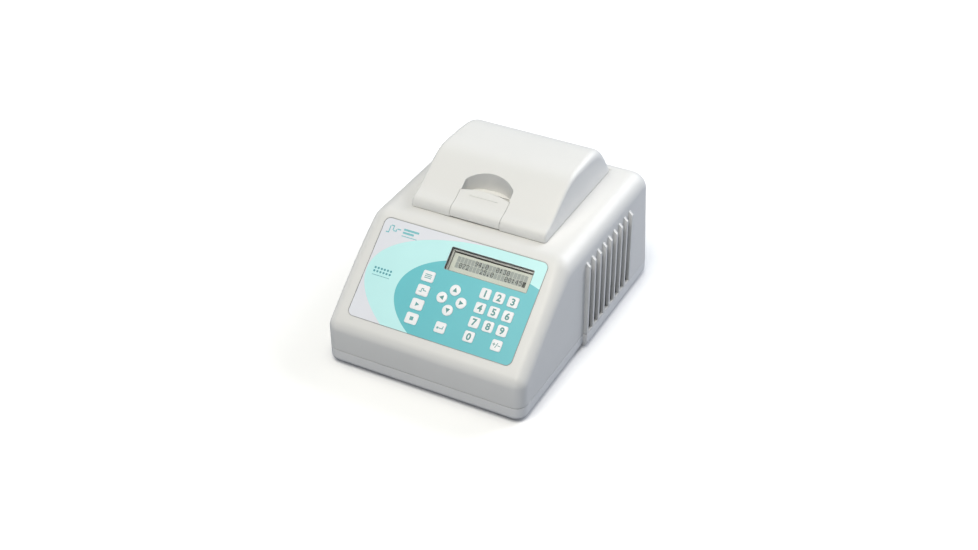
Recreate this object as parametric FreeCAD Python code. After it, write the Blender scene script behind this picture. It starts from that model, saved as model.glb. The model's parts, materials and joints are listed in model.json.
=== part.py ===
import FreeCAD, Part
import math
import os
from FreeCAD import Placement, Rotation, Vector

# Personal thermal cycler (PCR block heater) with a hinged heated lid, lid closed.
# Frame, millimetres: +X to the user's right, +Y towards the back, +Z up.
# Origin: centre of the footprint, on the plane the feet rest on.
# Control panel parts are drawn in panel axes (u right, v up the slope, n out of the
# panel) and moved onto the slope with on_slope.

# ---------------------------------------------------------------- driving dimensions
depth = 286.0            # overall front to back
half_w_front = 105.65    # half width of the front section
half_w_rear = 109.65     # half width of the vented rear section
step_from_front = 132.0  # where the rear section starts
foot_h = 2.5             # how far the feet stand proud of the tray
h_part = 14.5            # tray underside to parting line
h_deck = 121.0           # tray underside to top deck
h_slope_foot = 43.08     # tray underside to the foot of the slope
slope_deg = 39.02        # control panel slope
wall = 2.8
corner_r = 12.0
part_gap = 0.5           # shadow gap between tray and housing

film_t = 0.5             # overlay film
key_pitch = 14.35

fin_pitch = 12.6
fin_t = 3.0
fin_count = 9

block_x, block_y, block_h = 96.0, 60.0, 18.0
well_pitch = 9.0
well_nx, well_ny = 10, 6
well_r = 3.1

lid_half_w = 72.0
lid_wall = 2.6
hinge_r = 3.6
run_clear = 0.05         # radial clearance of a turning fit

hinge_pin_r = 1.5
latch_pin_r = 1.0
m3_r, m3_pilot_r = 1.5, 1.55
small_r, small_pilot_r = 1.25, 1.3

# ---------------------------------------------------------------- derived places
y_front, y_back = -depth / 2, depth / 2
y_step = y_front + step_from_front
z_tray = foot_h
z_part = z_tray + h_part
z_deck = z_tray + h_deck
z_slope_foot = z_tray + h_slope_foot
slope = math.radians(slope_deg)
y_slope_top = y_front + (z_deck - z_slope_foot) / math.tan(slope)
z_housing = z_part + part_gap / 2       # lower edge of the housing
z_tray_top = z_part - part_gap / 2
z_wedge_top = z_tray + 97.5
comb_y1 = y_step + fin_pitch * (fin_count - 1) + fin_t

y_block = 44.0                          # centre of the block
z_block_top = z_deck - 2.5
z_block = z_block_top - block_h         # underside of the block
z_sink = z_block - 3.8                  # top of the heat sink
sink_t, sink_fin_h = 8.0, 36.0
fan_z0, fan_z1 = 26.0, 51.0

hinge_y, hinge_z = 118.0, z_deck + hinge_r
bracket_x, bracket_half_w = 45.0, 8.0
latch_x, latch_y, latch_z = -3.3, -27.0, 128.5


# ---------------------------------------------------------------- rectangles and points
def around(x, y, half_x, half_y):
    """Rectangle (x0, x1, y0, y1) about a centre."""
    return x - half_x, x + half_x, y - half_y, y + half_y


def grow(rect, margin):
    x0, x1, y0, y1 = rect
    return x0 - margin, x1 + margin, y0 - margin, y1 + margin


def about_block(half_x, half_y):
    return around(0, y_block, half_x, half_y)


def four_points(x, y0, y1):
    return [(x, y0), (-x, y0), (x, y1), (-x, y1)]


case_points = four_points(97.0, -122.0, 121.0)
foot_points = four_points(88.0, -100.0, 98.0)
sink_points = four_points(57.0, y_block - 37.0, y_block + 37.0)
fan_hole = 35.75
fan_points = [(sx * fan_hole, y_block + sy * fan_hole) for sx in (-1, 1) for sy in (-1, 1)]
board_points = four_points(-80.0, 24.0, 69.0)          # u, v
bracket_points = [(side * bracket_x, hinge_y - 16.0) for side in (-1, 1)]
striker_points = [(latch_x + side * 12.0, -38.0) for side in (-1, 1)]

block_rect = about_block(block_x / 2, block_y / 2)
opening_rect = grow(block_rect, 4.0)                   # block opening in the deck
panel_rect = (-87.2, 87.2, 14.35, 117.1)               # u0, u1, v0, v1
display_rect = (-10.2, 75.7, 84.2, 106.4)
membrane_pocket = (-34.0, 80.0, 20.0, 81.0)
inlet_x, inlet_z = -62.0, 46.0
inlet_x0, inlet_x1, inlet_z0, inlet_z1 = around(inlet_x, inlet_z, 31.0, 16.0)


# ---------------------------------------------------------------- writing
os.makedirs("parts", exist_ok=True)


def save(name, shape):
    """One STEP for one named piece."""
    if shape.ShapeType == "Compound" and len(shape.Solids) == 1:
        shape = shape.Solids[0]
    shape.exportStep("parts/" + name + ".step")


def piece(build):
    """Decorator: build a piece and save it under the function's name."""
    save(build.__name__, build())
    return build


# ---------------------------------------------------------------- solids
def box(x0, x1, y0, y1, z0, z1):
    return Part.makeBox(x1 - x0, y1 - y0, z1 - z0, Vector(x0, y0, z0))


def cyl_z(radius, x, y, z0, z1):
    return Part.makeCylinder(radius, z1 - z0, Vector(x, y, z0), Vector(0, 0, 1))


def cyl_x(radius, y, z, x0, x1):
    return Part.makeCylinder(radius, x1 - x0, Vector(x0, y, z), Vector(1, 0, 0))


def cyl_y(radius, x, z, y0, y1):
    return Part.makeCylinder(radius, y1 - y0, Vector(x, y0, z), Vector(0, 1, 0))


def posts(radius, points, z0, z1):
    """The same upright cylinder at each point."""
    return [cyl_z(radius, x, y, z0, z1) for (x, y) in points]


def line(start, end):
    return Part.LineSegment(start, end).toShape()


def arc(start, middle, end):
    return Part.Arc(start, middle, end).toShape()


def direction(start, end):
    """Unit 2-D direction from start to end."""
    dx, dy = end[0] - start[0], end[1] - start[1]
    length = math.hypot(dx, dy)
    return dx / length, dy / length


def round_wire(points, radii, to_space):
    """Closed wire through 2-D points, rounded at each (one radius or a list)."""
    count = len(points)
    if not isinstance(radii, list):
        radii = [radii] * count
    corners = []                        # start, middle, end of the rounding
    for i, (corner, radius) in enumerate(zip(points, radii)):
        if radius <= 0:
            corners.append((corner, None, corner))
            continue
        ax, ay = direction(corner, points[i - 1])
        bx, by = direction(corner, points[(i + 1) % count])
        mx, my = direction((0, 0), (ax + bx, ay + by))
        half_angle = math.acos(ax * bx + ay * by) / 2
        setback = radius / math.tan(half_angle)
        reach = radius / math.sin(half_angle) - radius
        corners.append(((corner[0] + ax * setback, corner[1] + ay * setback),
                        (corner[0] + mx * reach, corner[1] + my * reach),
                        (corner[0] + bx * setback, corner[1] + by * setback)))
    edges = []
    for i, (start, middle, end) in enumerate(corners):
        following = corners[(i + 1) % count][0]
        if middle is not None:
            edges.append(arc(to_space(*start), to_space(*middle), to_space(*end)))
        if math.hypot(end[0] - following[0], end[1] - following[1]) > 1e-6:
            edges.append(line(to_space(*end), to_space(*following)))
    return Part.Wire(edges)


def prism_z(points, radii, z0, z1):
    wire = round_wire(points, radii, lambda x, y: Vector(x, y, z0))
    return Part.Face(wire).extrude(Vector(0, 0, z1 - z0))


def prism_x(points, radii, x0, x1):
    wire = round_wire(points, radii, lambda y, z: Vector(x0, y, z))
    return Part.Face(wire).extrude(Vector(x1 - x0, 0, 0))


def prism_y(points, radii, y0, y1):
    wire = round_wire(points, radii, lambda x, z: Vector(x, y0, z))
    return Part.Face(wire).extrude(Vector(0, y1 - y0, 0))


def rbox(x0, x1, y0, y1, radius, z0, z1):
    """Box with rounded upright edges."""
    return prism_z([(x0, y0), (x1, y0), (x1, y1), (x0, y1)], radius, z0, z1)


def mirrored(shape):
    return shape.mirror(Vector(0, 0, 0), Vector(1, 0, 0))


def fuse(shapes):
    result = shapes[0]
    if len(shapes) > 1:
        result = result.multiFuse(shapes[1:])
    try:
        result = result.removeSplitter()
    except Exception:
        pass        # merging coplanar faces may fail: the plain union is then used
    return result


def main_solid(shape):
    """The largest solid, leaving out any loose slivers."""
    if len(shape.Solids) > 1:
        return max(shape.Solids, key=lambda solid: solid.Volume)
    return shape


# ---------------------------------------------------------------- edges
def dress_edges(shape, operation, size, test):
    edges = [edge for edge in shape.Edges if test(edge)]
    if not edges:
        return shape
    try:
        result = operation(size, edges)
        if result.isValid() and result.Solids:
            return result.Solids[0] if len(result.Solids) == 1 else result
    except Exception:
        pass        # the kernel may refuse the edges: they are then left sharp
    return shape


def fillet_where(shape, radius, test):
    return dress_edges(shape, shape.makeFillet, radius, test)


def chamfer_where(shape, size, test):
    return dress_edges(shape, shape.makeChamfer, size, test)


def above(z):
    return lambda edge: edge.BoundBox.ZMin > z


def below(z):
    return lambda edge: edge.BoundBox.ZMax < z


def side_edges(body, z0):
    """(number, edge) of each edge that lies at constant x and reaches above z0."""
    return [(i, edge) for i, edge in enumerate(body.Edges, 1)
            if edge.BoundBox.XLength < 1e-3 and edge.BoundBox.ZMax - z0 > 1e-3]


def variable_fillet(shape, specs):
    """specs: (edge number from 1, radius at its start, radius at its end)."""
    doc = FreeCAD.newDocument("fillet")
    try:
        base = doc.addObject("Part::Feature", "base")
        base.Shape = shape
        fillet = doc.addObject("Part::Fillet", "fillet")
        fillet.Base = base
        fillet.Edges = specs
        doc.recompute()
        result = fillet.Shape.copy()
    finally:
        FreeCAD.closeDocument(doc.Name)
    if result.isNull() or not result.isValid() or not result.Solids:
        raise ValueError("fillet failed")
    return result.Solids[0]


# ---------------------------------------------------------------- placing
slope_frame = Placement(Vector(0, y_front, z_slope_foot), Rotation(Vector(1, 0, 0), slope_deg))


def on_slope(shape):
    """From panel axes to the product frame."""
    moved = shape.copy()
    moved.Placement = slope_frame.multiply(moved.Placement)
    return moved


def screw(radius, head_r, head_h, length):
    """Cross-slot screw along Z: head above 0, shank below."""
    head = Part.makeCylinder(head_r, head_h, Vector(0, 0, 0))
    head = chamfer_where(head, head_h * 0.35, above(head_h - 0.01))
    solid = head.fuse(Part.makeCylinder(radius, length, Vector(0, 0, -length)))
    slot_l, slot_w, slot_d = head_r * 1.1, 0.7, head_h * 0.55
    z = head_h - slot_d
    solid = solid.cut([
        Part.makeBox(slot_l, slot_w, slot_d, Vector(-slot_l / 2, -slot_w / 2, z)),
        Part.makeBox(slot_w, slot_l, slot_d, Vector(-slot_w / 2, -slot_l / 2, z))])
    return solid.removeSplitter()


def m3_screw(length):
    return screw(m3_r, 2.8, 2.0, length)


def screws_at(shape, points, z, up=-1):
    """Copies of a screw with the underside of its head at z, head pointing down or up."""
    copies = []
    for (x, y) in points:
        copied = shape.copy()
        copied.Placement = Placement(Vector(x, y, z),
                                     Rotation(Vector(0, 0, 1), Vector(0, 0, up)))
        copies.append(copied)
    return copies


def coil_spring(pitch, height, coil_r, wire_r):
    """Spring along Z whose wire has a sixteen-sided section."""
    section = []
    for i in range(16):
        angle = 2 * math.pi * i / 16
        section.append(Vector(coil_r + wire_r * math.cos(angle), 0, wire_r * math.sin(angle)))
    section = Part.makePolygon(section + [section[0]])
    helix = Part.makeHelix(pitch, height, coil_r)
    return Part.Wire(helix).makePipeShell([section], True, True)


# ---------------------------------------------------------------- body envelopes
def offset_polygon(points, offsets):
    """Convex anticlockwise polygon, side i to i+1 moved inwards by offsets[i]."""
    sides = []
    for i, start in enumerate(points):
        dx, dy = direction(start, points[(i + 1) % len(points)])
        moved = (start[0] - dy * offsets[i], start[1] + dx * offsets[i])
        sides.append((moved, (dx, dy)))
    result = []
    for i in range(len(points)):
        (p, u), (q, v) = sides[i - 1], sides[i]
        along = ((q[0] - p[0]) * v[1] - (q[1] - p[1]) * v[0]) / (u[0] * v[1] - u[1] * v[0])
        result.append((p[0] + u[0] * along, p[1] + u[1] * along))
    return result


def side_radius(point):
    """Radius of the outer side edge: tight at front and back, fuller along the deck."""
    if point.z < z_slope_foot + 15:
        return corner_r
    if point.y > y_back - 1.0 and point.z < z_deck - 5:
        return corner_r
    if point.z > z_deck - 0.5:
        return 18.0
    if point.y < y_slope_top + 3 and point.z > z_deck - 14:
        return 16.0
    return corner_r


def envelope(offset, z0):
    """Front, slope, deck and back as one rounded body, offset inwards."""
    outline = [(y_front, z0), (y_back, z0), (y_back, z_deck),
               (y_slope_top, z_deck), (y_front, z_slope_foot)]
    outline = offset_polygon(outline, [0] + [offset] * 4)
    deck_r = 22.0 - offset
    slope_foot_r = 15.0 if offset == 0 else 18.0
    half_w = half_w_front - offset
    body = prism_x(outline, [0, 0, deck_r, deck_r, slope_foot_r], -half_w, half_w)
    edges = side_edges(body, z0)
    if offset > 0:
        return body.makeFillet(15.2, [edge for _, edge in edges]).Solids[0]
    specs = [(i, side_radius(edge.Vertexes[0].Point), side_radius(edge.Vertexes[-1].Point))
             for i, edge in edges]
    try:
        return variable_fillet(body, specs)
    except Exception:
        # the varying radii may be refused: one radius is then used throughout
        return body.makeFillet(corner_r, [edge for _, edge in edges]).Solids[0]


def footprint(half_w, y0, offset):
    """Corners of a section of the footprint that runs from y0 to the back."""
    half_w -= offset
    return [(-half_w, y0 + offset), (half_w, y0 + offset),
            (half_w, y_back - offset), (-half_w, y_back - offset)]


def plan(offset, z0, z1):
    """Stepped footprint, offset inwards."""
    radius = corner_r - offset
    front = prism_z(footprint(half_w_front, y_front, offset), radius, z0, z1)
    rear = prism_z(footprint(half_w_rear, y_step, offset), [0, 0, radius, radius], z0, z1)
    return front.fuse(rear).removeSplitter()


def wedge(offset, z0):
    """Drafted rear section: wide at the bottom, at the front width above the fins."""
    radius = corner_r - offset
    wires = [round_wire(footprint(half_w, y_step, offset), [0, 0, radius, radius],
                        lambda x, y, z=z: Vector(x, y, z))
             for half_w, z in ((half_w_rear, z0), (half_w_front, z_wedge_top))]
    return Part.makeLoft(wires, True, True)


def flank_boxes(y0, y1, z0):
    """Right and left boxes over the fin combs, to keep the tongue joint out of them."""
    return [box(95, 130, y0, y1, z0, 60), box(-130, -95, y0, y1, z0, 60)]


# ---------------------------------------------------------------- upper housing
def vent_fins():
    profile = [(90.0, z_housing), (half_w_rear, z_housing), (half_w_rear, z_tray + 94.0),
               (half_w_front, z_tray + 98.0), (90.0, z_tray + 98.0)]
    fins = []
    for k in range(fin_count):
        y0 = y_step + k * fin_pitch
        fin = prism_y(profile, 0, y0, y0 + fin_t)
        fins += [fin, mirrored(fin)]
    return fins


def vent_slots():
    """Openings through the flanks between the fins, rounded at the top."""
    slots = []
    for k in range(fin_count - 1):
        y0 = y_step + k * fin_pitch
        slot = box(92, 125, y0 + fin_t, y0 + fin_pitch, z_tray + 16.0, z_tray + 84.0)
        slot = fillet_where(slot, 2.0, lambda edge: edge.BoundBox.XLength > 10
                            and edge.BoundBox.ZMin > z_tray + 80)
        slots += [slot, mirrored(slot)]
    return slots


def housing_inner_features():
    features = []
    # case screw columns, each with a rib to the side wall
    for (x, y) in case_points:
        top = z_deck - 1.0
        if y < 0:
            top = z_slope_foot + (y - y_front) * math.tan(slope) - 1.0
        features.append(cyl_z(4.6, x, y, z_housing + 0.2, top + 4))
        features.append(box(*sorted((x, x * 1.07)), y - 0.9, y + 0.9, z_housing + 6, top + 2))
    features += posts(4.2, sink_points, z_sink + 0.05, z_deck - 1)
    # stiffening collar under the block opening
    features.append(rbox(*grow(opening_rect, 2), 6.0, z_deck - 12.0, z_deck - 1))
    # posts behind the panel for the control board
    features += [on_slope(post) for post in posts(3.6, board_points, -12.0, -1.6)]
    # air baffles that close the line of sight through the foremost vent slots
    z0, z1 = z_housing + 2.0, z_deck - 1
    for side in (-1, 1):
        features.append(box(*sorted((side * 78.0, side * 80.0)),
                            y_step - 2.0, y_step + 12.0, z0, z1))
        features.append(box(*sorted((side * 80.0, side * 104.5)),
                            y_step - 2.0, y_step, z0, z1))
    # hinge bracket and striker bosses under the deck
    features += posts(4.0, bracket_points, z_deck - 8.6, z_deck - 1)
    features += posts(3.4, striker_points, z_deck - 6.5, z_deck - 1)
    limit = envelope(wall * 0.4, z_housing).fuse(wedge(wall * 0.5, z_housing))
    return fuse(features).common(limit)


def housing_openings():
    # screw pilots
    cuts = posts(m3_pilot_r, case_points, z_housing - 1, z_housing + 14)
    cuts += posts(m3_pilot_r, sink_points, z_sink - 1, z_sink + 13)
    cuts += [on_slope(bore) for bore in posts(m3_pilot_r, board_points, -12.5, -4.0)]
    cuts.append(rbox(*opening_rect, 4.0, z_deck - 20, z_deck + 5))
    cuts += posts(m3_pilot_r, bracket_points, z_deck - 9, z_deck - 1.6)
    cuts += posts(m3_pilot_r, striker_points, z_deck - 7, z_deck - 1.6)
    # latch slot, hinge groove and bracket slots in the deck
    cuts.append(box(latch_x - 9.0, latch_x + 9.0, -29.5, -18.5, z_deck - 10, z_deck + 5))
    groove_half = lid_half_w + 0.6
    cuts.append(cyl_x(hinge_r + 0.9, hinge_y, hinge_z, -groove_half, groove_half))
    for side in (-1, 1):
        slot = around(side * bracket_x, hinge_y, bracket_half_w + 0.4, 2.4)
        cuts.append(box(*slot, z_deck - 10, z_deck + 2))
    # on the slope: overlay recess, membrane pocket, window rebate, display opening, tail slot
    cuts += [on_slope(shape) for shape in (
        rbox(*grow(panel_rect, 0.35), 6.35, -film_t, 20),
        rbox(*membrane_pocket, 3.0, -1.85, 20),
        rbox(*grow(display_rect, 2.5), 1.5, -1.6, 20),
        rbox(*display_rect, 0.8, -10, 20),
        box(-6.0, 6.0, 20.6, 23.0, -8, 5))]
    # power inlet: flange recess and opening in the back
    cuts.append(box(inlet_x0 - 0.3, inlet_x1 + 0.3, y_back - 1.9, y_back + 5,
                    inlet_z0 - 0.3, inlet_z1 + 0.3))
    cuts.append(box(inlet_x0 + 2.6, inlet_x1 - 2.6, y_back - 15, y_back + 5,
                    inlet_z0 + 2.2, inlet_z1 - 2.2))
    # exhaust louvres beside the inlet
    louvre_z0, louvre_h, louvre_pitch = 40.0, 2.6, 6.0
    for k in range(7):
        z = louvre_z0 + k * louvre_pitch
        cuts.append(box(8.0, 84.0, y_back - 12, y_back + 6, z, z + louvre_h))
    return cuts


@piece
def upper_housing():
    body = fuse([envelope(0.0, z_housing), wedge(0.0, z_housing)] + vent_fins())
    body = body.cut([envelope(wall, z_housing - 0.5), wedge(wall, z_housing - 0.5)])
    body = body.cut(vent_slots())
    # rebate for the tray tongue
    rebate = plan(1.35, z_housing - 1, z_housing + 4.0)
    rebate = rebate.cut(plan(6.0, z_housing - 2, z_housing + 5.0))
    for flank in flank_boxes(y_step - 1, comb_y1 + 1, 0):
        rebate = rebate.cut(flank)
    body = body.cut(rebate)
    body = fuse([body, housing_inner_features()])
    return main_solid(body.cut(housing_openings()))


# ---------------------------------------------------------------- base tray and feet
def tray_body(offset, z0, z1, bottom_r):
    """Stepped footprint with a rounded bottom edge, offset inwards."""
    radius = corner_r - offset
    front = prism_z(footprint(half_w_front, y_front, offset), radius, z0, z1)
    front = fillet_where(front, bottom_r, below(z0 + 1e-3))
    rear = prism_z(footprint(half_w_rear, y_step, offset), [0, 0, radius, radius], z0, z1)
    rear = fillet_where(rear, bottom_r, lambda edge: edge.BoundBox.ZMax < z0 + 1e-3
                        and not edge.BoundBox.YMax < y_step + offset + 1e-3)
    return front.fuse(rear).removeSplitter()


@piece
def base_tray():
    tray = tray_body(0.0, z_tray, z_tray_top, 5.0)
    tray = tray.cut(tray_body(wall, z_tray + wall, z_tray_top + 5, 2.2))
    tongue = plan(1.5, z_tray_top - 3, z_tray_top + 3.4)
    tongue = tongue.cut(plan(wall, z_tray_top - 4, z_tray_top + 5))
    tongue = tongue.cut(flank_boxes(y_step - 3.0, comb_y1 + 1.5, z_tray_top - 0.01))
    tray = fuse([tray, tongue])
    # bosses for the case screws, fan and feet
    added = posts(4.8, case_points, z_tray + 1, z_tray_top + 0.2)
    added += posts(4.0, fan_points, z_tray + 1, fan_z0 - 0.03)
    added += posts(11.0, foot_points, z_tray + 1, z_tray + 4.4)
    holes = posts(1.7, case_points, 0, 40) + posts(3.3, case_points, 0, z_tray + 6.0)
    holes += posts(m3_pilot_r, fan_points, z_tray + 6, fan_z0 + 1)
    holes += posts(8.1, foot_points, 0, z_tray + 1.2) + posts(2.1, foot_points, 0, 20)
    # supports for the power supply: x0, x1, y0
    for (x0, x1, y0) in ((0.0, 3.0, 96.0), (84.0, 87.0, 103.0)):
        added.append(box(x0, x1, y0, 134.0, z_tray + 1, 21.95))
    # intake slots below the fan, their ends on a circle
    intake_r, slot_pitch = 36.0, 8.0
    for k in range(9):
        from_centre = (k - 4) * slot_pitch
        half_l = math.sqrt(max(intake_r ** 2 - from_centre ** 2, 100.0))
        slot = around(0, y_block + from_centre, half_l, 1.6)
        holes.append(rbox(*slot, 1.55, 0, z_tray + 5))
    return fuse([tray] + added).cut(holes)


@piece
def rubber_feet():
    """Each foot has a stem through the tray and a retaining head on top of it."""
    feet = []
    for (x, y) in foot_points:
        foot = cyl_z(8.0, x, y, 0.0, z_tray + 1.2)
        foot = chamfer_where(foot, 0.6, below(0.01))
        foot = foot.fuse(cyl_z(2.05, x, y, z_tray + 1.0, z_tray + 4.4))
        foot = foot.fuse(cyl_z(3.2, x, y, z_tray + 4.45, z_tray + 5.6))
        foot = foot.fuse(cyl_z(2.05, x, y, z_tray + 4.0, z_tray + 5.0))
        feet.append(foot.removeSplitter())
    return Part.makeCompound(feet)


@piece
def case_screws():
    return Part.makeCompound(screws_at(screw(m3_r, 2.9, 2.2, 18.0), case_points, z_tray + 6.0))


# ---------------------------------------------------------------- keypad
key_cols = [38.6 + i * key_pitch for i in range(3)]       # u, left to right
key_rows = [72.35 - i * key_pitch for i in range(4)]      # v, top to bottom
key_half = 5.25
key_clear = 0.15
key_corner_r = 1.8

# name: (is round, u, v, half width or radius, half height)
keys = {}
for i in range(9):
    keys["key_%d" % (i + 1)] = (False, key_cols[i % 3], key_rows[i // 3], key_half, key_half)
keys["key_0"] = (False, key_cols[0], key_rows[3], key_half, key_half)
keys["key_sign"] = (False, key_cols[2], key_rows[3], key_half, key_half)
for i in range(4):
    keys["key_f%d" % (i + 1)] = (False, -22.2, key_rows[i], 6.4, 5.4)
keys["key_enter"] = (False, 8.5, key_rows[3], 5.5, 5.3)
keys["key_up"] = (True, 8.9, 67.2, 5.4, 5.4)
keys["key_down"] = (True, 8.9, 46.9, 5.4, 5.4)
keys["key_left"] = (True, -1.3, 57.05, 5.4, 5.4)
keys["key_right"] = (True, 19.1, 57.05, 5.4, 5.4)


def key_prism(key, clearance, n0, n1):
    is_round, u, v, half_u, half_v = key
    if is_round:
        return cyl_z(half_u + clearance, u, v, n0, n1)
    return rbox(*grow(around(u, v, half_u, half_v), clearance), key_corner_r + clearance, n0, n1)


for key_name, key in keys.items():
    cap = fillet_where(key_prism(key, 0, -0.45, 0.45), 0.28, above(0.44))
    save(key_name, on_slope(cap))


@piece
def keypad_overlay():
    film = rbox(*panel_rect, 6.0, -film_t, 0.0)
    cuts = [rbox(*display_rect, 0.8, -3, 3)]
    cuts += [key_prism(key, key_clear, -3, 3) for key in keys.values()]
    return on_slope(film.cut(cuts))


@piece
def key_domes():
    domes = []
    for (_, u, v, _, _) in keys.values():
        dome = cyl_z(2.6, u, v, -1.18, -0.95).fuse(cyl_z(1.7, u, v, -1.0, -0.8))
        domes.append(on_slope(dome.removeSplitter()))
    return Part.makeCompound(domes)


@piece
def membrane_circuit():
    """Membrane sheet with a tail running down to the control board."""
    sheet = rbox(*grow(membrane_pocket, -0.4), 2.6, -1.82, -1.2)
    tail = box(-5.6, 5.6, 21.0, 22.4, -19.0, -1.25)
    return on_slope(sheet.fuse(tail).removeSplitter())


# ---------------------------------------------------------------- display
lcd_rect = (-14.6, 80.3, 80.6, 109.4)     # display module: u0, u1, v0, v1


@piece
def display_window():
    return on_slope(rbox(*grow(display_rect, 2.3), 1.4, -1.58, -0.58))


@piece
def lcd_bezel():
    """Open-backed metal tray with a viewing opening."""
    bezel = rbox(*lcd_rect, 0.6, -8.6, -3.2)
    bezel = bezel.cut(box(*grow(lcd_rect, -0.6), -10, -3.8))
    bezel = bezel.cut(rbox(-8.0, 74.8, 84.9, 104.3, 0.5, -12, 0))
    return on_slope(bezel)


@piece
def lcd_glass():
    return on_slope(box(*grow(lcd_rect, -0.8), -7.8, -5.4))


@piece
def lcd_board():
    u0, u1, v0, v1 = lcd_rect
    return on_slope(box(u0 - 2.1, u1 + 4, v0 - 4.0, v1 + 0.7, -10.25, -8.65))


# ---------------------------------------------------------------- control board
board_n0, board_n1 = -23.65, -22.05


@piece
def board_standoffs():
    """Hexagonal stand-offs, each with a stud into the housing post."""
    hex_r, hex_n0, hex_h = 3.0, -22.0, 9.95
    standoffs = []
    for (u, v) in board_points:
        corners = [Vector(u + hex_r * math.cos(math.radians(60 * i)),
                          v + hex_r * math.sin(math.radians(60 * i)), hex_n0)
                   for i in range(6)]
        hexagon = Part.makePolygon(corners + [Vector(u + hex_r, v, hex_n0)])
        standoff = Part.Face(hexagon).extrude(Vector(0, 0, hex_h))
        standoff = standoff.cut(cyl_z(small_pilot_r, u, v, -23, -16))
        standoff = standoff.fuse(cyl_z(m3_r, u, v, -12.06, -5.0))
        standoffs.append(on_slope(standoff.removeSplitter()))
    return Part.makeCompound(standoffs)


# rectangular components: u0, u1, v0, v1, top
board_chips = [
    (-20, -6, 40, 54, -19.6), (20, 40, 44, 51, -18.8), (44, 64, 30, 37, -18.8),
    (-60, -48, 56, 62, -19.4), (-8, 8, 18.5, 24.0, -19.4), (56, 76, 66, 74, -15.5),
    (0, 12, 62, 68, -20.6)]
# cylindrical components: radius, u, v, top
board_cans = [(4.0, -62, 34, -13.5), (3.2, -50, 36, -14.5)]


@piece
def control_board():
    board = rbox(-86.0, 86.0, 16.0, 84.0, 2.0, board_n0, board_n1)
    board = board.cut(posts(1.6, board_points, -30, 0))
    sunk = board_n1 - 0.01                # components bite into the board to fuse
    parts = [box(u0, u1, v0, v1, sunk, top) for (u0, u1, v0, v1, top) in board_chips]
    parts += [cyl_z(radius, u, v, sunk, top) for (radius, u, v, top) in board_cans]
    return on_slope(fuse([board] + parts))


# ---------------------------------------------------------------- block stack
@piece
def sample_block():
    block = box(*block_rect, z_block, z_block_top)
    block = fillet_where(block, 2.5, lambda edge: edge.BoundBox.ZLength > block_h - 0.1)
    block = chamfer_where(block, 0.6, above(z_block_top - 0.01))
    wells = []
    for i in range(well_nx):
        for j in range(well_ny):
            x = (i - (well_nx - 1) / 2) * well_pitch
            y = y_block + (j - (well_ny - 1) / 2) * well_pitch
            mouth = cyl_z(well_r, x, y, z_block_top - 4.0, z_block_top + 1)
            cone = Part.makeCone(1.35, well_r, 11.0, Vector(x, y, z_block_top - 15.0))
            wells.append(mouth.fuse(cone))
    return block.cut(wells)


@piece
def block_seal():
    """Ring that fills the gap between block and deck opening."""
    seal = rbox(*grow(opening_rect, -0.25), 3.8, z_deck - 10.0, z_deck - 0.9)
    seal = seal.cut(rbox(*grow(block_rect, 0.25), 2.7, z_deck - 12, z_deck + 1))
    return chamfer_where(seal, 0.8, above(z_deck - 0.92))


@piece
def peltier_modules():
    """Two modules side by side, each a core between two plates."""
    plate_t, gap = 0.8, 0.05
    modules = []
    for side in (-1, 1):
        plate = around(side * 22.5, y_block, 20, 20)
        module = box(*plate, z_sink + gap, z_sink + gap + plate_t)
        module = module.fuse(box(*plate, z_block - gap - plate_t, z_block - gap))
        module = module.fuse(box(*grow(plate, -1), z_sink + 0.8, z_block - 0.8))
        modules.append(module)
    return Part.makeCompound(modules)


@piece
def heat_sink():
    z_plate = z_sink - sink_t
    solids = [rbox(*about_block(63, 43), 3.0, z_plate, z_sink)]
    for k in range(17):
        y = y_block + (k - 8) * 4.8
        solids.append(box(*around(0, y, 50, 0.75), z_plate - sink_fin_h, z_plate + 0.5))
    return fuse(solids).cut(posts(1.7, sink_points, 0, 130))


# ---------------------------------------------------------------- fan
@piece
def fan_frame():
    frame = rbox(*about_block(40, 40), 4.0, fan_z0, fan_z1)
    frame = frame.cut(cyl_z(38.5, 0, y_block, fan_z0 - 1, fan_z1 + 1))
    # side reliefs between the flanges, leaving a ring round the rotor
    for (half_x, half_y) in ((41, 28), (28, 41)):
        relief = rbox(*about_block(half_x, half_y), 1, fan_z0 + 4, fan_z1 - 4)
        frame = frame.cut(relief.cut(cyl_z(39.6, 0, y_block, 0, 99)))
    hub = cyl_z(17.0, 0, y_block, fan_z0, fan_z0 + 2.5)
    hub = hub.fuse(cyl_z(4.0, 0, y_block, fan_z0 + 2, fan_z0 + 14))
    struts = []
    for angle in (45, 135, 225, 315):
        strut = box(15, 39.5, -1.6, 1.6, fan_z0, fan_z0 + 2.5)
        strut.rotate(Vector(0, 0, 0), Vector(0, 0, 1), angle)
        strut.translate(Vector(0, y_block, 0))
        struts.append(strut)
    shaft_bore = cyl_z(1.5 + run_clear, 0, y_block, fan_z0 + 1.0, 60)
    return fuse([frame, hub] + struts).cut(posts(2.15, fan_points, 0, 99) + [shaft_bore])


def blade_section(x, yz):
    points = [Vector(x, y, z) for (y, z) in yz]
    return Part.makePolygon(points + [points[0]])


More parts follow.
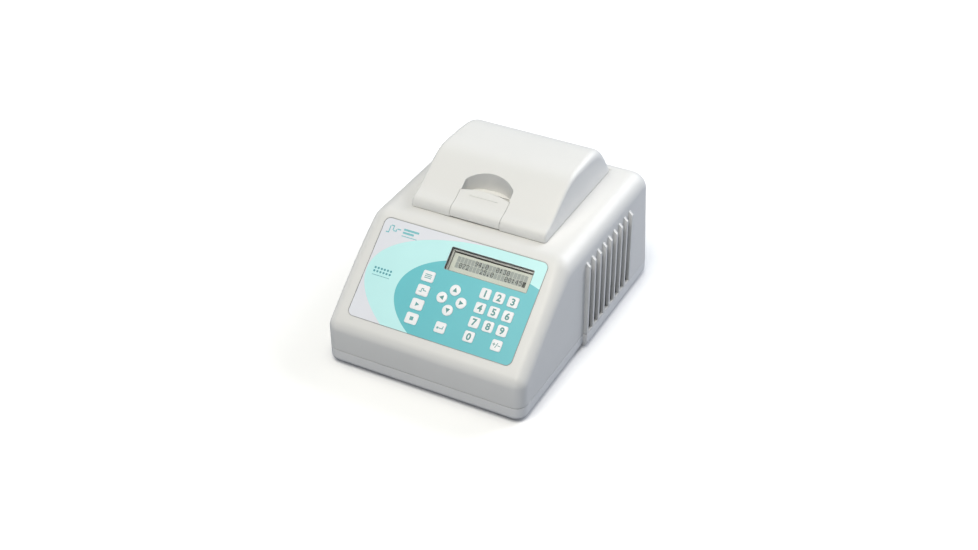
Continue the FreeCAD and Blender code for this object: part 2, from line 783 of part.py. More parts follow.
@piece
def fan_rotor():
    rotor = cyl_z(18.0, 0, y_block, fan_z0 + 3.2, fan_z1 - 1.5)
    rotor = fillet_where(rotor, 1.5, above(fan_z1 - 1.6))
    rotor = rotor.cut(cyl_z(16.4, 0, y_block, fan_z0, fan_z1 - 3.2))
    rotor = rotor.fuse(cyl_z(1.5, 0, y_block, fan_z0 + 1.5, fan_z1 - 2.5))
    root = blade_section(17.4, [(-7.5, fan_z0 + 5.0), (-6.1, fan_z0 + 4.4),
                                (6.6, fan_z1 - 4.6), (5.2, fan_z1 - 4.0)])
    tip = blade_section(37.4, [(-11.5, fan_z0 + 6.6), (-10.3, fan_z0 + 6.0),
                               (8.8, fan_z1 - 6.4), (7.6, fan_z1 - 5.8)])
    blade_count = 7
    blades = []
    for k in range(blade_count):
        blade = Part.makeLoft([root, tip], True, True)
        blade = blade.common(cyl_z(37.6, 0, 0, 0, 99))
        blade.rotate(Vector(0, 0, 0), Vector(0, 0, 1), k * 360.0 / blade_count)
        blade.translate(Vector(0, y_block, 0))
        blades.append(blade)
    return fuse([rotor] + blades)


# ---------------------------------------------------------------- power inlet
inlet_y = y_back - 0.1               # outer face of the inlet flange
socket_x = inlet_x - 13.5            # centres of the three cavities
fuse_x = inlet_x + 6.6
rocker_x = inlet_x + 20.0
rocker_y = inlet_y - 5.2             # rocker axis
rocker_pin_r = 1.4


@piece
def power_inlet():
    inlet = box(inlet_x0, inlet_x1, inlet_y - 1.75, inlet_y, inlet_z0, inlet_z1)
    inlet = fillet_where(inlet, 3.0, lambda edge: edge.BoundBox.YLength > 1.7)
    inlet = inlet.fuse(box(inlet_x0 + 3, inlet_x1 - 3, inlet_y - 30.0, inlet_y - 1.0,
                           inlet_z0 + 2.6, inlet_z1 - 2.6))
    # socket cavity outline about its centre: x, z
    outline = [(-12.0, -8.6), (12.0, -8.6), (12.0, 3.2), (7.0, 8.6), (-7.0, 8.6), (-12.0, 3.2)]
    socket = prism_y([(socket_x + x, inlet_z + z) for (x, z) in outline], 1.5,
                     inlet_y - 17.0, inlet_y + 1)
    fuse_cavity = box(fuse_x - 4.2, fuse_x + 4.2, inlet_y - 26.0, inlet_y + 1,
                      inlet_z - 11.2, inlet_z + 11.2)
    rocker_cavity = box(rocker_x - 6.6, rocker_x + 6.6, inlet_y - 14.0, inlet_y + 1,
                        inlet_z - 10.8, inlet_z + 10.8)
    inlet = inlet.cut([socket, fuse_cavity, rocker_cavity])
    # contact blades: centre x, end below the face, lower z
    blades = [box(socket_x + x - 1.0, socket_x + x + 1.0, inlet_y - 19.0, inlet_y - end,
                  inlet_z + z, inlet_z + z + 4.0)
              for (x, end, z) in ((-7.0, 3.0, -4.0), (7.0, 3.0, -4.0), (0.0, 2.0, 0.5))]
    stubs = [cyl_x(rocker_pin_r, rocker_y, inlet_z, rocker_x + x, rocker_x + x + 1.6)
             for x in (-7.2, 5.6)]
    return fuse([inlet] + blades + stubs)


@piece
def fuse_drawer():
    drawer = box(fuse_x - 4.0, fuse_x + 4.0, inlet_y - 24.0, inlet_y - 0.2,
                 inlet_z - 11.0, inlet_z + 11.0)
    bay = box(fuse_x - 3.0, fuse_x + 3.0, inlet_y - 22.0, inlet_y - 4.0,
              inlet_z - 9.6, inlet_z + 12)
    notch = box(fuse_x - 2.4, fuse_x + 2.4, inlet_y - 1.6, inlet_y + 1,
                inlet_z + 6.6, inlet_z + 9.4)
    return drawer.cut([bay, notch])


@piece
def power_rocker():
    """Two faces meeting at the middle, resting in the off position."""
    outline = [(-6.2, -4.0), (-6.2, 4.0), (3.6, 9.4), (2.6, 0.0), (3.6, -9.4)]    # y, z
    tilt_deg = 8.0
    rocker = prism_x(outline, [1.5, 1.5, 0.6, 6.0, 0.6], -6.3, 6.3)
    rocker = rocker.cut(cyl_x(rocker_pin_r + run_clear, 0, 0, -7, 7))
    rocker.rotate(Vector(0, 0, 0), Vector(1, 0, 0), -tilt_deg)
    rocker.translate(Vector(rocker_x, rocker_y, inlet_z))
    return rocker


# ---------------------------------------------------------------- power supply
@piece
def power_supply():
    """Vented metal case with its board and components inside."""
    case_rect, case_z0, case_z1, sheet_t = (0.0, 87.0, 96.0, 134.0), 22.0, 62.0, 1.2
    case = box(*case_rect, case_z0, case_z1)
    case = fillet_where(case, 1.2, lambda edge: True)
    inside = box(*grow(case_rect, -sheet_t), case_z0 + sheet_t, case_z1 - sheet_t)
    vents = [cyl_y(1.6, 10.0 + i * 6.7, 30.0 + j * 7.5, 94, 99)
             for i in range(11) for j in range(4)]
    case = case.cut([inside] + vents)
    contents = fuse([
        box(1.2, 85.8, 98.5, 131.5, 26.0, 27.6),          # board
        box(10, 38, 102, 126, 27.5, 52),                  # components
        cyl_z(7.5, 52, 114, 27.5, 55),
        box(64, 78, 102, 128, 27.5, 44),
        box(20, 60, 98.5, 100.5, 23.3, 26.2),             # rails below the board
        box(20, 60, 129.0, 131.0, 23.3, 26.2)])
    return fuse([case, contents])


# ---------------------------------------------------------------- lid surface
# crown of the lid, front to back: y, z
crown_points = [
    (-24.5, 134.9), (-15.0, 138.7), (-5.0, 144.9), (6.0, 151.8), (17.0, 158.2),
    (26.0, 162.0), (37.0, 163.9), (52.0, 164.2), (74.0, 163.9), (85.0, 162.4),
    (93.0, 159.4), (100.0, 154.3), (107.0, 146.9), (113.2, 138.6), (118.0, 131.7)]
crown_spans = 26         # spans of the offset crown curve
lid_lip_y = -31.0        # front face of the lid
lid_z0 = z_deck + 0.7    # underside of the lid


def lid_body(offset, z0, side_radii=None):
    """Solid inside the lid's outer surface, offset inwards.

    side_radii: radii of the side edges at the front and at the back.
    """
    crown = Part.BSplineCurve()
    crown.interpolate([Vector(0, y, z) for y, z in crown_points])
    t0, t1 = crown.FirstParameter, crown.LastParameter
    points = []
    for i in range(crown_spans + 1):
        t = t0 + (t1 - t0) * i / crown_spans
        tangent = crown.tangent(t)[0]
        points.append(crown.value(t) + Vector(0, tangent.z, -tangent.y) * offset)
    curve = Part.BSplineCurve()
    curve.interpolate(points)
    first, last = points[0], points[-1]
    start_dir = curve.tangent(curve.FirstParameter)[0]
    end_dir = curve.tangent(curve.LastParameter)[0]
    # lip arc: tangent to the upright front face and to the start of the crown
    lip_y = lid_lip_y + offset
    rise = math.atan2(start_dir.z, start_dir.y)
    radius = (first.y - lip_y) / (1 - math.sin(rise))
    arc_y, arc_z = lip_y + radius, first.z - radius * math.cos(rise)
    middle = (math.pi + math.pi / 2 + rise) / 2
    arc_middle = Vector(0, arc_y + radius * math.cos(middle), arc_z + radius * math.sin(middle))
    lip_top = Vector(0, lip_y, arc_z)
    lip_foot = Vector(0, lip_y, z0)
    back_foot = Vector(0, last.y + end_dir.y / end_dir.z * (z0 - last.z), z0)
    face = Part.Face(Part.Wire([
        line(lip_foot, lip_top), arc(lip_top, arc_middle, first), curve.toShape(),
        line(last, back_foot), line(back_foot, lip_foot)]))
    half_w = lid_half_w - offset
    face.translate(Vector(-half_w, 0, 0))
    body = face.extrude(Vector(2 * half_w, 0, 0))
    if side_radii is None:
        return body
    front_r, back_r = side_radii
    top_z = max(point.z for point in points)
    specs = []
    for i, edge in side_edges(body, z0):
        if edge.BoundBox.ZMax > top_z - 1.0:              # the crown edge
            if edge.Vertexes[0].Point.y < edge.Vertexes[-1].Point.y:
                specs.append((i, front_r, back_r))
            else:
                specs.append((i, back_r, front_r))
        elif edge.BoundBox.YMin > 60.0:
            specs.append((i, back_r, back_r))
        else:
            specs.append((i, front_r, front_r))
    return variable_fillet(body, specs)


outer_radii = (2.6, 10.0)
lid_outer = lid_body(0.0, lid_z0, outer_radii)

# ---------------------------------------------------------------- latch flap outline
flap_half_w = 26.5
seam = 0.35              # gap round the flap


def flap_prism(gap):
    """Plan of the flap about x = 0: arched back edge, open past the front of the lid."""
    half_w = flap_half_w + gap
    front_y, side_y, middle_y = -40, -8.75 + gap, -5.55 + gap
    front_left, front_right = Vector(-half_w, front_y, 100), Vector(half_w, front_y, 100)
    back_left, back_right = Vector(-half_w, side_y, 100), Vector(half_w, side_y, 100)
    edges = [line(front_left, front_right), line(front_right, back_right),
             arc(back_right, Vector(0, middle_y, 100), back_left),
             line(back_left, front_left)]
    return Part.Face(Part.Wire(edges)).extrude(Vector(0, 0, 100))


# ---------------------------------------------------------------- finger recess in the lid
recess_floor = 130.4
recess_step = 136.0      # higher floor at the back of the recess
recess_front_y, recess_step_y = -16.8, 5.4
cup_wall = 1.8


def recess_prism(margin, z1):
    """D-shaped prism: arched back edge, straight sides and front."""
    half_w = flap_half_w - 0.8 + margin
    front_y, side_y = recess_front_y - margin, 1.5
    z0 = recess_floor - margin
    front_left, front_right = Vector(-half_w, front_y, z0), Vector(half_w, front_y, z0)
    back_left, back_right = Vector(-half_w, side_y, z0), Vector(half_w, side_y, z0)
    edges = [line(front_left, back_left),
             arc(back_left, Vector(0, 11.6 + margin, z0), back_right),
             line(back_right, front_right), line(front_right, front_left)]
    prism = Part.Face(Part.Wire(edges)).extrude(Vector(0, 0, z1 - z0))
    prism = fillet_where(prism, 4.0, lambda edge: edge.BoundBox.ZLength > (z1 - z0) * 0.9
                         and edge.BoundBox.YMin > 0
                         and abs(edge.BoundBox.XMin) > half_w - 0.5)
    prism.translate(Vector(latch_x, 0, 0))
    return prism


def recess_step_box(margin):
    return box(-60, 60, recess_step_y + margin, 40, 100, recess_step - margin)


# ---------------------------------------------------------------- lid cover
spring_plate_z0, spring_plate_z1 = 141.0, 143.5
liner_z0, liner_z1 = lid_z0 + 0.2, lid_z0 + 2.6
plate_boss_points = four_points(61.0, 22.0, 66.0)
liner_boss_points = four_points(63.0, -13.0, 92.0)


def hinge_knuckles():
    """Barrels beside and between the brackets, each with a web to the back wall."""
    lid_lowered = lid_body(0.0, lid_z0 - 5.0, outer_radii)
    inner, outer = bracket_x - 8.2, bracket_x + 8.2
    web_outline = [(hinge_y - 3.4, hinge_z + 0.4), (hinge_y + 2.2, hinge_z + 1.4),
                   (hinge_y - 3.0, hinge_z + 12.0), (hinge_y - 6.6, hinge_z + 11.0)]
    knuckles = []
    for (x0, x1) in ((-lid_half_w, -outer), (-inner, inner), (outer, lid_half_w)):
        knuckles.append(cyl_x(hinge_r, hinge_y, hinge_z, x0, x1).common(lid_lowered))
        knuckles.append(prism_x(web_outline, 0, x0, x1).common(lid_outer))
    return knuckles


def hinge_cuts():
    """Stops the back wall above the hinge line and clears the bracket knuckles."""
    half_w = lid_half_w + 1
    cuts = [box(-half_w, half_w, hinge_y, 140, 100, hinge_z)]
    for side in (-1, 1):
        x0, x1 = side * bracket_x - 8.2, side * bracket_x + 8.2
        cuts.append(cyl_x(hinge_r + 0.35, hinge_y, hinge_z, x0, x1))
        cuts.append(box(x0, x1, hinge_y - 6.0, 140, 100, hinge_z))
    return cuts


def latch_ears():
    """Ears either side of the flap that hold the latch pin."""
    outline = [(lid_lip_y + 1.5, 125.4), (-23.6, 125.4), (-23.6, 131.6), (-25.0, 134.0),
               (lid_lip_y + 3.0, 134.0), (lid_lip_y + 1.5, 131)]
    ears = []
    for side in (-1, 1):
        x0, x1 = sorted((side * (flap_half_w + 0.9) + latch_x,
                         side * (flap_half_w + 4.4) + latch_x))
        ears.append(prism_x(outline, 0, x0, x1).common(lid_outer))
    return ears


@piece
def lid_cover():
    shell = lid_outer.cut(lid_body(lid_wall, lid_z0 - 2.0, (0.6, 7.8))).cut(hinge_cuts())
    cup = recess_prism(cup_wall, 175.0).common(lid_outer)
    cup = cup.cut(recess_step_box(cup_wall))
    recess = recess_prism(0.0, 180.0).cut(recess_step_box(0.0))
    boss_limit = lid_body(lid_wall * 0.5, lid_z0)
    bosses = posts(3.6, plate_boss_points, spring_plate_z1 + 0.03, 175)
    bosses += posts(3.4, liner_boss_points, liner_z1 + 0.03, 175)
    bosses = [boss.common(boss_limit) for boss in bosses]
    cover = fuse([shell, cup] + bosses + hinge_knuckles() + latch_ears())
    # room for the flap, with the seam all round
    flap_zone = flap_prism(seam)
    flap_zone.translate(Vector(latch_x, 0, 0))
    front_half_w = flap_half_w + seam
    front_zone = box(latch_x - front_half_w, latch_x + front_half_w, -40, -19.2, 100, 200)
    cover = cover.cut([recess, flap_zone.cut(box(-200, 200, recess_front_y, 50, 0, 300)),
                       front_zone])
    # over the recess only the skin is opened
    skin = lid_outer.cut(lid_body(lid_wall + 0.35, lid_z0 - 2))
    cover = cover.cut(flap_zone.common(skin))
    bores = [cyl_x(latch_pin_r + run_clear, latch_y, latch_z, latch_x - 40, latch_x + 40),
             cyl_x(hinge_pin_r + run_clear, hinge_y, hinge_z, -80, 80)]
    bores += posts(small_pilot_r, plate_boss_points, spring_plate_z1 - 1, spring_plate_z1 + 9)
    bores += posts(small_pilot_r, liner_boss_points, liner_z1 - 1, liner_z1 + 8)
    return main_solid(cover.cut(bores))


# ---------------------------------------------------------------- latch
@piece
def latch_flap():
    """Flap in the lid's outer surface, with a barrel for the pin and a grip line."""
    flap = flap_prism(0.0).common(lid_outer.cut(lid_body(2.2, lid_z0 - 2)))
    flap = flap.cut(box(-50, 50, -40, 0, 100, lid_z0 + 0.9))
    barrel = cyl_x(2.7, latch_y, latch_z, -flap_half_w, flap_half_w)
    web = prism_x([(lid_lip_y + 1.0, latch_z - 1.6), (latch_y, latch_z - 2.6),
                   (latch_y + 1.0, latch_z + 2.4), (lid_lip_y + 1.0, latch_z + 2.4)],
                  0, -flap_half_w, flap_half_w)
    flap = fuse([flap, barrel.fuse(web).common(lid_outer)])
    pin_bore = cyl_x(latch_pin_r + run_clear, latch_y, latch_z, -40, 40)
    spring_gap = box(10.0, 19.0, latch_y - 1.9, 0, 120, latch_z + 2.0)
    hook_gap = box(-6.3, 6.3, latch_y - 2.6, latch_y + 10, 115, latch_z)
    flap = flap.cut([pin_bore, spring_gap, hook_gap])
    grip = lid_body(-0.4, lid_z0).cut(lid_body(0.6, lid_z0 - 1))
    grip = grip.common(box(-15.0, 15.0, -11.9, -11.1, 100, 200))
    flap = main_solid(fuse([flap, grip]))
    flap.translate(Vector(latch_x, 0, 0))
    return flap


@piece
def latch_hook():
    """Steel hook that hangs from the flap's barrel, its toe pointing forward."""
    top = latch_z - 0.15
    outline = [(-25.6, top), (-25.6, 115.0), (-28.0, 115.0), (-28.0, 114.0),
               (-27.4, 112.4), (-24.1, 112.4), (-24.1, top)]
    return prism_x(outline, 0, latch_x - 5.8, latch_x + 5.8)


@piece
def latch_pin():
    half_l = flap_half_w + 4.2
    return cyl_x(latch_pin_r, latch_y, latch_z, latch_x - half_l, latch_x + half_l)


@piece
def latch_spring():
    """Torsion spring round the latch pin, in the gap of the barrel."""
    coil = coil_spring(1.0, 7.0, 1.42, 0.26)
    coil.rotate(Vector(0, 0, 0), Vector(0, 1, 0), 90)
    coil.translate(Vector(latch_x + 11.0, latch_y, latch_z))
    return coil


@piece
def latch_striker():
    """Plate below the deck, screwed up into it."""
    striker = box(latch_x - 17, latch_x + 17, -44.0, -26.3, z_deck - 8.3, z_deck - 6.55)
    return striker.cut(posts(1.6, striker_points, 100, 130))


# ---------------------------------------------------------------- hinge
@piece
def hinge_brackets():
    """Fixed knuckle, leaf through the deck slot, foot under the deck."""
    brackets = []
    for (x, y) in bracket_points:
        x0, x1 = x - bracket_half_w, x + bracket_half_w
        bracket = fuse([
            cyl_x(hinge_r, hinge_y, hinge_z, x0, x1),
            box(x0, x1, hinge_y - 2.0, hinge_y + 2.0, z_deck - 11.0, hinge_z),
            box(x0, x1, hinge_y - 22.0, hinge_y + 2.0, z_deck - 11.4, z_deck - 8.65)])
        brackets.append(bracket.cut([
            cyl_x(hinge_pin_r + run_clear, hinge_y, hinge_z, -80, 80),
            cyl_z(1.6, x, y, 100, 130)]))
    return Part.makeCompound(brackets)


@piece
def hinge_pin():
    half_l = lid_half_w - 4.2
    return cyl_x(hinge_pin_r, hinge_y, hinge_z, -half_l, half_l)


# ---------------------------------------------------------------- inside the lid
stud_points = four_points(38.0, y_block - 22.0, y_block + 22.0)
plate_z0 = lid_z0 + 0.1                   # heated plate
plate_z1 = plate_z0 + 6.0


@piece
def lid_liner():
    """Floor of the lid, with a rimmed opening for the heated plate."""
    window = about_block(54.0, 36.0)
    liner = rbox(-69.6, 69.6, -28.8, 125.0, 10.0, liner_z0, liner_z1)
    liner = liner.common(box(-100, 100, -60, 108.6, 100, 150))
    liner = liner.common(lid_body(lid_wall + 0.2, lid_z0 - 2.0))
    latch_half_w = flap_half_w + 5.0
    liner = liner.cut([
        rbox(*window, 3.0, 100, 140),
        box(latch_x - latch_half_w, latch_x + latch_half_w, -40, -18.9, 100, 140)])
    rim = rbox(*grow(window, 1.8), 4.8, liner_z1 - 0.5, liner_z1 + 1.4)
    rim = rim.cut(rbox(*window, 3.0, 100, 150))
    return fuse([liner, rim]).cut(posts(1.55, liner_boss_points, 100, 150)
                                  + posts(2.9, liner_boss_points, 100, liner_z0 + 1.2))


@piece
def spring_plate():
    """Plate with two cross arms that reach the lid bosses."""
    arm_front, arm_back = around(0, y_block - 22.0, 65, 4.5), around(0, y_block + 22.0, 65, 4.5)
    plate = fuse([rbox(*about_block(50, 30), 4.0, spring_plate_z0, spring_plate_z1),
                  rbox(*arm_front, 3.0, spring_plate_z0, spring_plate_z1),
                  rbox(*arm_back, 3.0, spring_plate_z0, spring_plate_z1)])
    return plate.cut(posts(1.55, plate_boss_points, 100, 150) + posts(2.1, stud_points, 100, 150))


@piece
def lid_screws():
    screws = screws_at(screw(small_r, 2.5, 1.1, 7.0), liner_boss_points, liner_z0 + 1.2)
    screws += screws_at(screw(small_r, 2.5, 1.8, 10.0), plate_boss_points, spring_plate_z0)
    return Part.makeCompound(screws)


@piece
def heated_plate():
    plate = rbox(*about_block(53, 35), 3.0, plate_z0, plate_z1)
    plate = chamfer_where(plate, 0.6, below(plate_z0 + 0.01))
    return plate.cut(posts(1.55, stud_points, plate_z0 + 2.0, 140))


@piece
def heater_mat():
    mat = rbox(*about_block(49, 31), 2.0, plate_z1 + 0.05, plate_z1 + 1.05)
    return mat.cut(posts(5.4, stud_points, 100, 150))


@piece
def plate_studs():
    """Shouldered studs from the heated plate up through the spring plate."""
    studs = [fuse([cyl_z(1.5, x, y, plate_z0 + 2.2, plate_z1 + 0.2),
                   cyl_z(2.0, x, y, plate_z1 + 0.03, spring_plate_z1 + 0.1),
                   cyl_z(4.0, x, y, spring_plate_z1 + 0.05, spring_plate_z1 + 2.0)])
             for (x, y) in stud_points]
    return Part.makeCompound(studs)


@piece
def plate_springs():
    height = spring_plate_z0 - plate_z1 - 1.2
    turns = 4.0
    springs = []
    for (x, y) in stud_points:
        spring = coil_spring(height / turns, height, 3.6, 0.45)
        spring.translate(Vector(x, y, plate_z1 + 0.6))
        springs.append(spring)
    return Part.makeCompound(springs)


# ---------------------------------------------------------------- inner screws
@piece
def inner_screws():
    """Screws of the heat sink, fan, control board, hinge brackets and striker."""
    screws = screws_at(m3_screw(18.0), sink_points, z_sink - sink_t)
    screws += screws_at(m3_screw(36.0), fan_points, fan_z1, up=1)
    board_screws = screws_at(screw(small_r, 2.5, 1.8, 6.0), board_points, board_n0)
    screws += [on_slope(shape) for shape in board_screws]
    for bracket_point, striker_point in zip(bracket_points, striker_points):
        screws += screws_at(m3_screw(8.0), [bracket_point], z_deck - 11.4)
        screws += screws_at(m3_screw(5.5), [striker_point], z_deck - 8.3)
    return Part.makeCompound(screws)
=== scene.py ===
"""Looks of the bench-top thermal cycler: a pale moulded case on a tray, a hinged latched
lid over a sixty-well block, and a sloping printed keypad with a character display.

Metres, +Z up, +X to the right. The front faces -Y, and the keypad rises from there to the back.
Prints on the panel are laid out in millimetres: u across, v up the slope, n out of the face.
"""

import json
import math

import bmesh
import bpy
from mathutils import Matrix, Vector


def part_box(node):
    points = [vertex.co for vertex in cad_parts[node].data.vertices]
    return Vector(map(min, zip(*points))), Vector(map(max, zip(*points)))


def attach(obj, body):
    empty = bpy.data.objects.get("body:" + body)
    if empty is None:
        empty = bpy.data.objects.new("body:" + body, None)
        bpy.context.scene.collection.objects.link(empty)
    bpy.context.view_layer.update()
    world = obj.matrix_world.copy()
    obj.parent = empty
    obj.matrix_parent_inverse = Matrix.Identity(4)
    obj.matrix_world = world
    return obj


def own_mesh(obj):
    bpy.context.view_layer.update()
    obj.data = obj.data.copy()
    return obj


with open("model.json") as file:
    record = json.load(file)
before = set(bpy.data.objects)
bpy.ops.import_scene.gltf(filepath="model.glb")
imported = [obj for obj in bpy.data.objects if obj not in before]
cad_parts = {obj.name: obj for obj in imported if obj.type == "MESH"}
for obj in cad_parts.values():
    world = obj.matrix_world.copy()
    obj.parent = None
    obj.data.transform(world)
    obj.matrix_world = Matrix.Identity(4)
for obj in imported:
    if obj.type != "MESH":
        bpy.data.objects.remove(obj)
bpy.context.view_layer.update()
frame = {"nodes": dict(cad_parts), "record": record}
scene = bpy.context.scene
NODES = frame["nodes"]

# ------------------------------------------------------------------ the sloping panel's own axes
MM = 0.001
SLOPE = math.radians(39.02)
PANEL_ORIGIN = Vector((0.0, -0.143, 0.04558))
PANEL_U = Vector((1, 0, 0))
PANEL_V = Vector((0, math.cos(SLOPE), math.sin(SLOPE)))
PANEL_N = Vector((0, -math.sin(SLOPE), math.cos(SLOPE)))


def panel_point(u, v, n):
    """A point of the panel in metres, from millimetres."""
    return PANEL_ORIGIN + (PANEL_U * u + PANEL_V * v + PANEL_N * n) * MM


# ------------------------------------------------------------------ panel layout, millimetres
# overlay film and the printed border of the display opening: extents and corner radius
FILM_EDGE = dict(u_span=(-87.2, 87.2), v_span=(14.35, 117.1), corner=6.0)
OPENING = dict(u_span=(-10.2, 75.7), v_span=(84.2, 106.4), corner=0.8)
# printed colour fields: centre, half axes, turn in degrees
TEAL_FIELD = dict(centre=(47.5, 46.5), half=(97.2, 51.4), turn=-5.8)
AQUA_FIELD = dict(centre=(137.05, 31.65), half=(225.5, 78.87), turn=-9.14)

# display: top left corner of the first cell, then cells and their dots
LCD_LEFT, LCD_TOP = -3.37, 100.75
LCD_COLUMNS, LCD_ROWS = 20, 2
CELL_PITCH_U, CELL_PITCH_V = 3.71, 5.85
CELL_WIDTH, CELL_HEIGHT = 3.25, 5.50
CELL_DOTS_U, CELL_DOTS_V = 5, 8
DOT_GAP = 0.07
DOT_PITCH_U = (CELL_WIDTH + DOT_GAP) / CELL_DOTS_U
DOT_PITCH_V = (CELL_HEIGHT + DOT_GAP) / CELL_DOTS_V
# visible glass inside the painted shadow under the bezel edge
GLASS_U, GLASS_V = (-8.3, 75.1), (84.4, 103.25)

# key centres
KEY_PITCH = 14.35
KEY_COLUMNS = [38.6 + KEY_PITCH * i for i in range(3)]
KEY_ROWS = [72.35 - KEY_PITCH * i for i in range(4)]
ARROW_U, ARROW_V = 8.9, 57.05
ARROW_REACH_U, ARROW_REACH_V = 10.2, 10.15
ENTER_U = 8.5
FUNCTION_U = -22.2

# lowest and highest n of each printed layer
KEY_TOP = 0.45
KEY_INK = (KEY_TOP - 0.002, KEY_TOP + 0.038)
LABEL_INK = (-0.002, 0.03)
LCD_INK = (-5.402, -5.36)


# ------------------------------------------------------------------ shader helpers
MIDDLE = (0.3, 0.7)     # the part of its range where a noise texture mostly lies


def srgb(*display):
    """Red, green and blue given as 0-255 display values, as linear light."""
    out = []
    for value in display:
        value /= 255.0
        out.append(value / 12.92 if value <= 0.04045 else ((value + 0.055) / 1.055) ** 2.4)
    return (*out, 1.0)


def shade(colour, *factors):
    """The colour multiplied by one factor, or by one for each channel."""
    factors = factors if len(factors) == 3 else factors * 3
    return tuple(min(1.0, x * k) for x, k in zip(colour[:3], factors)) + (1.0,)


class Shader:
    """One material and short calls that add nodes to it. Lengths are in metres."""

    def __init__(self, name):
        self.material = bpy.data.materials.new(name)
        self.material.use_nodes = True
        self.tree = self.material.node_tree
        self.tree.nodes.clear()
        self.output = self.node("ShaderNodeOutputMaterial")
        self.position = self.node("ShaderNodeTexCoord").outputs["Object"]

    def node(self, kind, inputs=None, **settings):
        """A node with its inputs linked or set; an input given as None is left alone."""
        node = self.tree.nodes.new(kind)
        for key, value in settings.items():
            setattr(node, key, value)
        for key, value in (inputs or {}).items():
            if isinstance(value, bpy.types.NodeSocket):
                self.tree.links.new(value, node.inputs[key])
            elif value is not None:
                node.inputs[key].default_value = value
        return node

    def math(self, operation, *values):
        return self.node("ShaderNodeMath", dict(enumerate(values)), operation=operation).outputs[0]

    def add(self, a, b):
        return self.math("ADD", a, b)

    def sub(self, a, b):
        return self.math("SUBTRACT", a, b)

    def mul(self, a, b):
        return self.math("MULTIPLY", a, b)

    def vector_math(self, operation, *values, output="Value"):
        node = self.node("ShaderNodeVectorMath", dict(enumerate(values)), operation=operation)
        return node.outputs[output]

    def scaled(self, scale):
        return self.node("ShaderNodeMapping", {"Vector": self.position, "Scale": scale}).outputs[0]

    def noise(self, scale, detail=3.0, rough=0.5, vector=None):
        return self.node("ShaderNodeTexNoise", {
            "Vector": vector or self.position, "Scale": scale,
            "Detail": detail, "Roughness": rough}).outputs["Fac"]

    def voronoi(self, scale, feature, vector):
        return self.node("ShaderNodeTexVoronoi", {"Vector": vector, "Scale": scale},
                         feature=feature).outputs["Distance"]

    def wave(self, direction, scale, distortion=0.0):
        return self.node("ShaderNodeTexWave", {
            "Vector": self.position, "Scale": scale, "Distortion": distortion},
            wave_type="BANDS", bands_direction=direction).outputs["Fac"]

    def remap(self, value, span=MIDDLE, to=(0.0, 1.0)):
        return self.node("ShaderNodeMapRange", dict(enumerate((value, *span, *to))),
                         clamp=True).outputs[0]

    def uneven(self, level, pattern, low, high):
        """A level that the pattern lowers or raises."""
        return self.add(level, self.remap(pattern, to=(low, high)))

    def mix(self, factor, a, b, mode="MIX"):
        return self.node("ShaderNodeMix", {0: factor, 6: a, 7: b},
                         data_type="RGBA", blend_type=mode).outputs[2]

    def tones(self, colour, dark, light, by, span=MIDDLE):
        """Two shades of a colour, mixed by a pattern."""
        return self.mix(self.remap(by, span), shade(colour, dark), shade(colour, light))

    def bevel(self, radius):
        return self.node("ShaderNodeBevel", {"Radius": radius}, samples=4).outputs[0]

    def edge(self, radius):
        """1 on sharp edges and corners, 0 on flats, with the rounded normal."""
        rounded = self.bevel(radius)
        flat = self.node("ShaderNodeNewGeometry").outputs["Normal"]
        likeness = self.vector_math("DOT_PRODUCT", rounded, flat)
        return self.remap(likeness, span=(0.985, 0.80)), rounded

    def ao(self, distance, samples=4):
        return self.node("ShaderNodeAmbientOcclusion", {"Distance": distance},
                         samples=samples, only_local=False).outputs["AO"]

    def bump(self, height, strength, depth, normal=None):
        return self.node("ShaderNodeBump", {
            "Strength": strength, "Distance": depth, "Height": height,
            "Normal": normal}).outputs[0]

    def principled(self, colour, rough, normal, metallic=0.0, **more):
        """Finish the material with a principled surface."""
        inputs = {"Base Color": colour, "Roughness": rough, "Metallic": metallic,
                  "Normal": normal}
        inputs.update((key.replace("_", " "), value) for key, value in more.items())
        return self.done(self.node("ShaderNodeBsdfPrincipled", inputs).outputs[0])

    def done(self, surface):
        self.tree.links.new(surface, self.output.inputs["Surface"])
        return self.material


# ------------------------------------------------------------------ plain materials
def moulded(name, colour, rough=0.42, grain=0.10, dust_and_shade=0.20, wear=0.35, cavity_shade=0.0):
    """Spark-textured plastic: fine grain, faint mottling, rubbed edges, seams darkened by settled
    dirt and painted shade.

    Its last setting darkens deep recesses with painted shade."""
    s = Shader(name)
    edge, _ = s.edge(radius=0.0011)
    rounded = s.bevel(radius=0.0004)
    broad = s.noise(scale=9.0, detail=4.0, rough=0.55)
    mottle = s.noise(scale=60.0, detail=5.0, rough=0.6)
    grain_scale = 1500.0
    fine = s.noise(scale=grain_scale, detail=2.0)
    finer = s.noise(scale=grain_scale * 2.9, detail=1.0)
    base = s.tones(colour, dark=0.975, light=1.012, by=broad, span=(0.30, 0.72))
    base = s.mix(s.remap(mottle, span=(0.35, 0.75), to=(0.0, 0.5)), base, shade(colour, 0.985))
    patches = s.remap(s.noise(scale=220.0, detail=4.0, rough=0.65), span=(0.38, 0.68))
    rubbed = s.mul(edge, patches)
    base = s.mix(s.mul(rubbed, wear), base, shade(colour, 1.08))
    # dirt and painted shade in tight seams, darker where the occlusion test finds close surfaces
    seams = s.remap(s.ao(distance=0.004), span=(0.25, 0.95), to=(dust_and_shade, 0.0))
    base = s.mix(seams, base, shade(colour, 0.55, 0.54, 0.52))
    if cavity_shade:
        # painted shade deep inside the case and tray, seen through the vents
        painted_recess_shade = s.remap(s.ao(distance=0.25, samples=16), span=(0.05, 0.28), to=(cavity_shade, 0.0))
        base = s.mix(painted_recess_shade, base, shade(colour, 0.14, 0.145, 0.15))
    rough = s.uneven(rough, mottle, low=-0.035, high=0.045)
    rough = s.sub(rough, s.mul(rubbed, 0.10))           # rubbed edges are smoother
    height = s.add(s.mul(fine, 0.7), s.mul(finer, 0.3))     # shares of the two grains
    normal = s.bump(height, strength=grain, depth=0.00008, normal=rounded)
    return s.principled(base, rough, normal, IOR=1.49)


